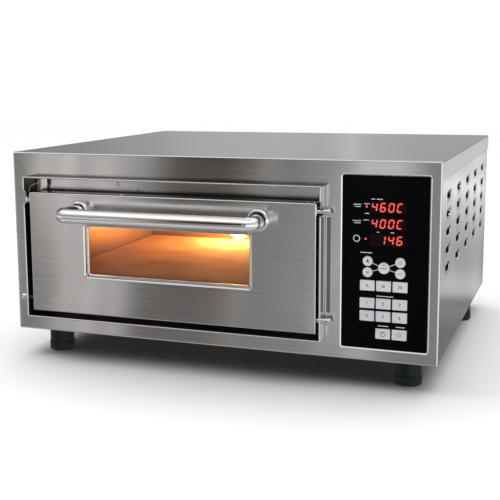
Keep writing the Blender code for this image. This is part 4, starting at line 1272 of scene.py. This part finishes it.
def camera():
    """In front of the oven and to its right, a little above its lid, looking slightly down."""
    data = bpy.data.cameras.new("camera")
    data.lens = 70.2
    data.sensor_width = 36.0
    data.shift_x = 0.0539
    data.shift_y = -0.0425
    made = bpy.data.objects.new("camera", data)
    bpy.context.scene.collection.objects.link(made)
    yaw, pitch, tilt = 0.3646, 0.1575, -0.0089
    forward = Vector((-math.sin(yaw) * math.cos(pitch), math.cos(yaw) * math.cos(pitch), -math.sin(pitch)))
    level = Vector((math.cos(yaw), math.sin(yaw), 0.0))
    upright = level.cross(forward)
    right = level * math.cos(tilt) + upright * math.sin(tilt)
    up = upright * math.cos(tilt) - level * math.sin(tilt)
    turn = Matrix((right, up, -forward)).transposed().to_4x4()
    made.matrix_world = Matrix.Translation((0.4955, -1.4992, 0.4221)) @ turn
    bpy.context.scene.camera = made


def floor():
    mesh = bpy.data.meshes.new("floor")
    half = 6.0
    corners = [(-half, -half, 0), (half, -half, 0), (half, half, 0), (-half, half, 0)]
    mesh.from_pydata(corners, [], [(0, 1, 2, 3)])
    look = Look("floor_white", (0.96, 0.96, 0.96), 0.6, Specular_IOR_Level=0.1)
    mesh.materials.append(look.material)
    made = bpy.data.objects.new("floor", mesh)
    bpy.context.scene.collection.objects.link(made)
    made.visible_glossy = False


WARM = (1.03, 1.0, 0.98)
ROSY = (1.0, 0.955, 0.95)
TAN = (1.25, 1.1, 0.99)
# What the front sees round the room, as (degrees to the right of straight ahead, brightness) and
# a tint where it isn't grey. From the left: a lit wall, a tall softbox, a dark doorway, a grey
# wall, another softbox, and a lit wall again.
FRONT_BANDS = (
    (-36, 0.9), (-34, 0.28, WARM), (-32.8, 0.3, WARM), (-32.1, 0.44, WARM), (-31.3, 0.86, ROSY),
    (-30.6, 0.72, ROSY), (-29.7, 1.02, ROSY), (-29.1, 0.6, ROSY), (-28.3, 0.7, ROSY),
    (-27.4, 0.9, ROSY), (-26.7, 0.62, ROSY), (-25.9, 0.6), (-25.1, 0.5), (-24.2, 0.24, WARM),
    (-23.4, 0.11, TAN), (-22.6, 0.071, TAN), (-20.8, 0.06, TAN), (-19.9, 0.079, TAN),
    (-19.0, 0.132, TAN), (-18.1, 0.43, WARM), (-16.8, 0.28, WARM), (-15.3, 0.38, WARM),
    (-14.4, 0.4, WARM), (-13.4, 0.46), (-12.5, 0.84), (-11.5, 0.7), (-10.6, 1.0), (-9.6, 0.74),
    (-8.6, 0.34, WARM), (10, 0.5), (18, 1.2), (30, 1.4),
)
# The same room above and below those bands, by height in degrees: its pale floor, and a long
# softbox overhead.
FRONT_FAR = (
    (-90, 0.42), (-60, 0.46), (-42, 0.66), (-30, 0.3), (20, 0.24), (35, 0.83), (45, 1.5), (54, 1.6),
    (63, 1.0), (76, 0.85), (90, 0.8),
)
FRONT_FAR_SHARE = ((-34, 1.0), (-26, 0.0), (14, 0.0), (28, 1.0))
FRONT_HEIGHTS = ((-28, 0.5), (-18, 0.75), (-13, 1.0), (-3, 1.0), (2, 0.45), (8, 0.3), (15, 0.6))
# How bright the room is by its height in degrees, for what it lights: it is lit from overhead,
# and more from behind than from the front.
SKY_HEIGHTS = ((-90, 0.4), (0, 0.02), (22, 0.04), (40, 0.45), (52, 2.0), (90, 2.0))
SKY_DEPTHS = ((-1.0, 0.42), (-0.3, 0.7), (0.3, 1.3), (1.0, 1.6))
# How far those bands lean to the side, in degrees by height: one rule as far as the tall softbox,
# and another from the doorway on.
SWAY_TURNS = ((-28, 0.0), (-26, 1.0))
SWAY_LEFT = (
    (-16, 0), (-14.1, -0.6), (-13, -0.9), (-12.4, -1.2), (-11.6, -1.5), (-9.7, -0.9), (-8, 0),
    (-6.9, 0.7), (-4.7, 0),
)
SWAY_RIGHT = ((-15.4, 3), (-14.2, 2.5), (-12.7, 2.1), (-7.5, 1.4), (-5.1, 0))
# A grey wall low down in front of the oven, that hides more of the bands the lower it is seen.
HAZE = (0.30, 0.292, 0.29)
HAZE_HEIGHTS = (
    (-26, 0.9), (-20, 0.8), (-15.5, 0.62), (-14, 0.45), (-12.7, 0.38), (-9, 0.42), (-7, 0.42),
    (-5.8, 0.08), (-5, 0.0),
)
HAZE_TURNS = ((-28, 0.6), (-24, 1.0), (-14, 1.0), (-12, 0.2))
# What the top and the right side see behind the oven, by height, then by degrees to the right.
BACK_HEIGHTS = (
    (-20, 0.19), (-15, 0.19), (-13.3, 0.26), (-13.1, 0.2), (-12.6, 0.50), (-12.2, 0.58),
    (-11.6, 0.52), (-11, 0.44), (-10, 0.42), (-9, 0.5), (-7.5, 0.72), (-6.5, 0.95), (-5.6, 0.75),
    (-1, 0.6), (2, 0.42), (8, 0.42), (12, 0.58), (14, 0.58), (18, 0.44), (25, 0.42), (50, 0.9),
)
BACK_BANDS = (
    (-40, 0.55), (-33, 0.6), (-30, 0.68), (-26, 0.88), (-22, 1.12), (-18, 1.15), (-15, 1.1),
    (-13.5, 1.35), (-12.5, 1.1), (-9, 0.95), (3, 1.0), (5.5, 0.8), (6.2, 1.2), (6.8, 0.85),
    (7.4, 1.15), (8.0, 0.9), (8.6, 1.1), (12, 1.0),
)


def ramp(tree, factor, stops):
    """A colour ramp from (position, level) stops, or (position, level, tint) where it isn't grey."""
    made = tree.nodes.new("ShaderNodeValToRGB")
    made.color_ramp.interpolation = "EASE"
    elements = made.color_ramp.elements
    while len(elements) < len(stops):
        elements.new(0.5)
    for element, (position, level, *tints) in zip(elements, stops):
        tint = tints[0] if tints else (1.0, 1.0, 1.0)
        element.position = position
        element.color = (*(level * channel for channel in tint), 1.0)
    tree.links.new(factor, made.inputs["Fac"])
    return made.outputs["Color"]


def studio():
    """A white room, with the darker panels and gaps that polished and brushed metal mirror."""
    world = bpy.data.worlds.new("studio")
    world.use_nodes = True
    bpy.context.scene.world = world
    world.cycles.sampling_method = "NONE"
    tree = world.node_tree
    tree.nodes.clear()

    def node(kind, **settings):
        made = tree.nodes.new("ShaderNode" + kind)
        for name, value in settings.items():
            setattr(made, name, value)
        return made

    def math_node(operation, first, second):
        made = node("Math", operation=operation)
        plug(tree, first, made.inputs[0])
        plug(tree, second, made.inputs[1])
        return made.outputs[0]

    def mixed(factor, first, second, blend="MIX"):
        made = node("Mix", data_type="RGBA", blend_type=blend)
        for index, value in ((0, factor), (6, first), (7, second)):
            plug(tree, value, made.inputs[index])
        return made.outputs[2]

    direction = node("TexCoord").outputs["Generated"]
    split = node("SeparateXYZ")
    tree.links.new(direction, split.inputs[0])
    x, y, z = split.outputs
    straight = math_node("ARCTAN2", x, math_node("MULTIPLY", y, -1.0))
    back_turn = math_node("ARCTAN2", x, y)
    height = math_node("ARCSINE", z, 0.0)

    def by_turn(angle, stops):
        low, high = stops[0][0], stops[-1][0]
        scaled = math_node("MULTIPLY", angle, 180 / math.pi / (high - low))
        shifted = math_node("SUBTRACT", scaled, low / (high - low))
        return ramp(tree, shifted, [((stop - low) / (high - low), *level) for stop, *level in stops])

    def by_height(stops):
        return by_turn(height, stops)

    leans = []
    for stops in (SWAY_LEFT, SWAY_RIGHT):
        leans.append(by_height([(stop, 0.5 + degrees / 10) for stop, degrees in stops]))
    lean = mixed(by_turn(straight, SWAY_TURNS), *leans)
    sway = math_node("MULTIPLY", math_node("SUBTRACT", lean, 0.5), math.radians(10.0))
    turn = math_node("ADD", straight, sway)
    front = mixed(1.0, by_turn(turn, FRONT_BANDS), by_height(FRONT_HEIGHTS), "MULTIPLY")
    share = math_node("MULTIPLY", by_height(HAZE_HEIGHTS), by_turn(straight, HAZE_TURNS))
    front = mixed(share, front, (*HAZE, 1.0))
    front = mixed(by_height(FRONT_FAR_SHARE), front, by_height(FRONT_FAR))
    back = mixed(1.0, by_turn(back_turn, BACK_BANDS), by_height(BACK_HEIGHTS), "MULTIPLY")
    behind = ramp(tree, y, [(0.0, 0.0), (0.35, 1.0)])
    seen = mixed(behind, front, back)
    rays = node("LightPath")
    depth = math_node("ADD", math_node("MULTIPLY", y, 0.5), 0.5)
    slant = ramp(tree, depth, [((stop + 1) / 2, level) for stop, level in SKY_DEPTHS])
    sky = mixed(1.0, by_height(SKY_HEIGHTS), slant, "MULTIPLY")
    shown = mixed(rays.outputs["Is Camera Ray"], sky, (1.0, 1.0, 1.0, 1.0))
    room = mixed(rays.outputs["Is Glossy Ray"], shown, seen)
    background = node("Background")
    tree.links.new(room, background.inputs["Color"])
    background.inputs["Strength"].default_value = 1.02
    output = node("OutputWorld")
    tree.links.new(background.outputs[0], output.inputs["Surface"])


def lamp(name, kind, place, energy, colour, size, aim=None, glossy=True):
    data = bpy.data.lights.new(name, kind)
    data.energy = energy
    data.color = colour
    made = bpy.data.objects.new(name, data)
    bpy.context.scene.collection.objects.link(made)
    made.location = place
    if kind == "AREA":
        data.size = size
        made.rotation_mode = "QUATERNION"
        made.rotation_quaternion = (Vector(aim) - Vector(place)).to_track_quat("-Z", "Y")
    else:
        data.shadow_soft_size = size
    made.visible_glossy = glossy
    return made


def lights():
    studio()
    lamp("key", "AREA", (-2.2, -0.5, 2.5), 20.0, (1.0, 1.0, 1.0), 1.6, (0, 0, 0.1), glossy=False)
    lens = extent("lamp_lens")
    bulb = CORNER + Vector((mid(lens.x), lens.y[0] - 14.0, mid(lens.z) + 22.0)) * MM
    lamp("chamber_lamp", "POINT", bulb, 1.9, (1.0, 0.46, 0.14), 0.012)
    view = bpy.context.scene.view_settings
    view.view_transform = "Standard"


def main():
    casing()
    surround()
    door()
    chamber()
    controls()
    fan_and_gland()
    feet()
    camera()
    floor()
    lights()


main()
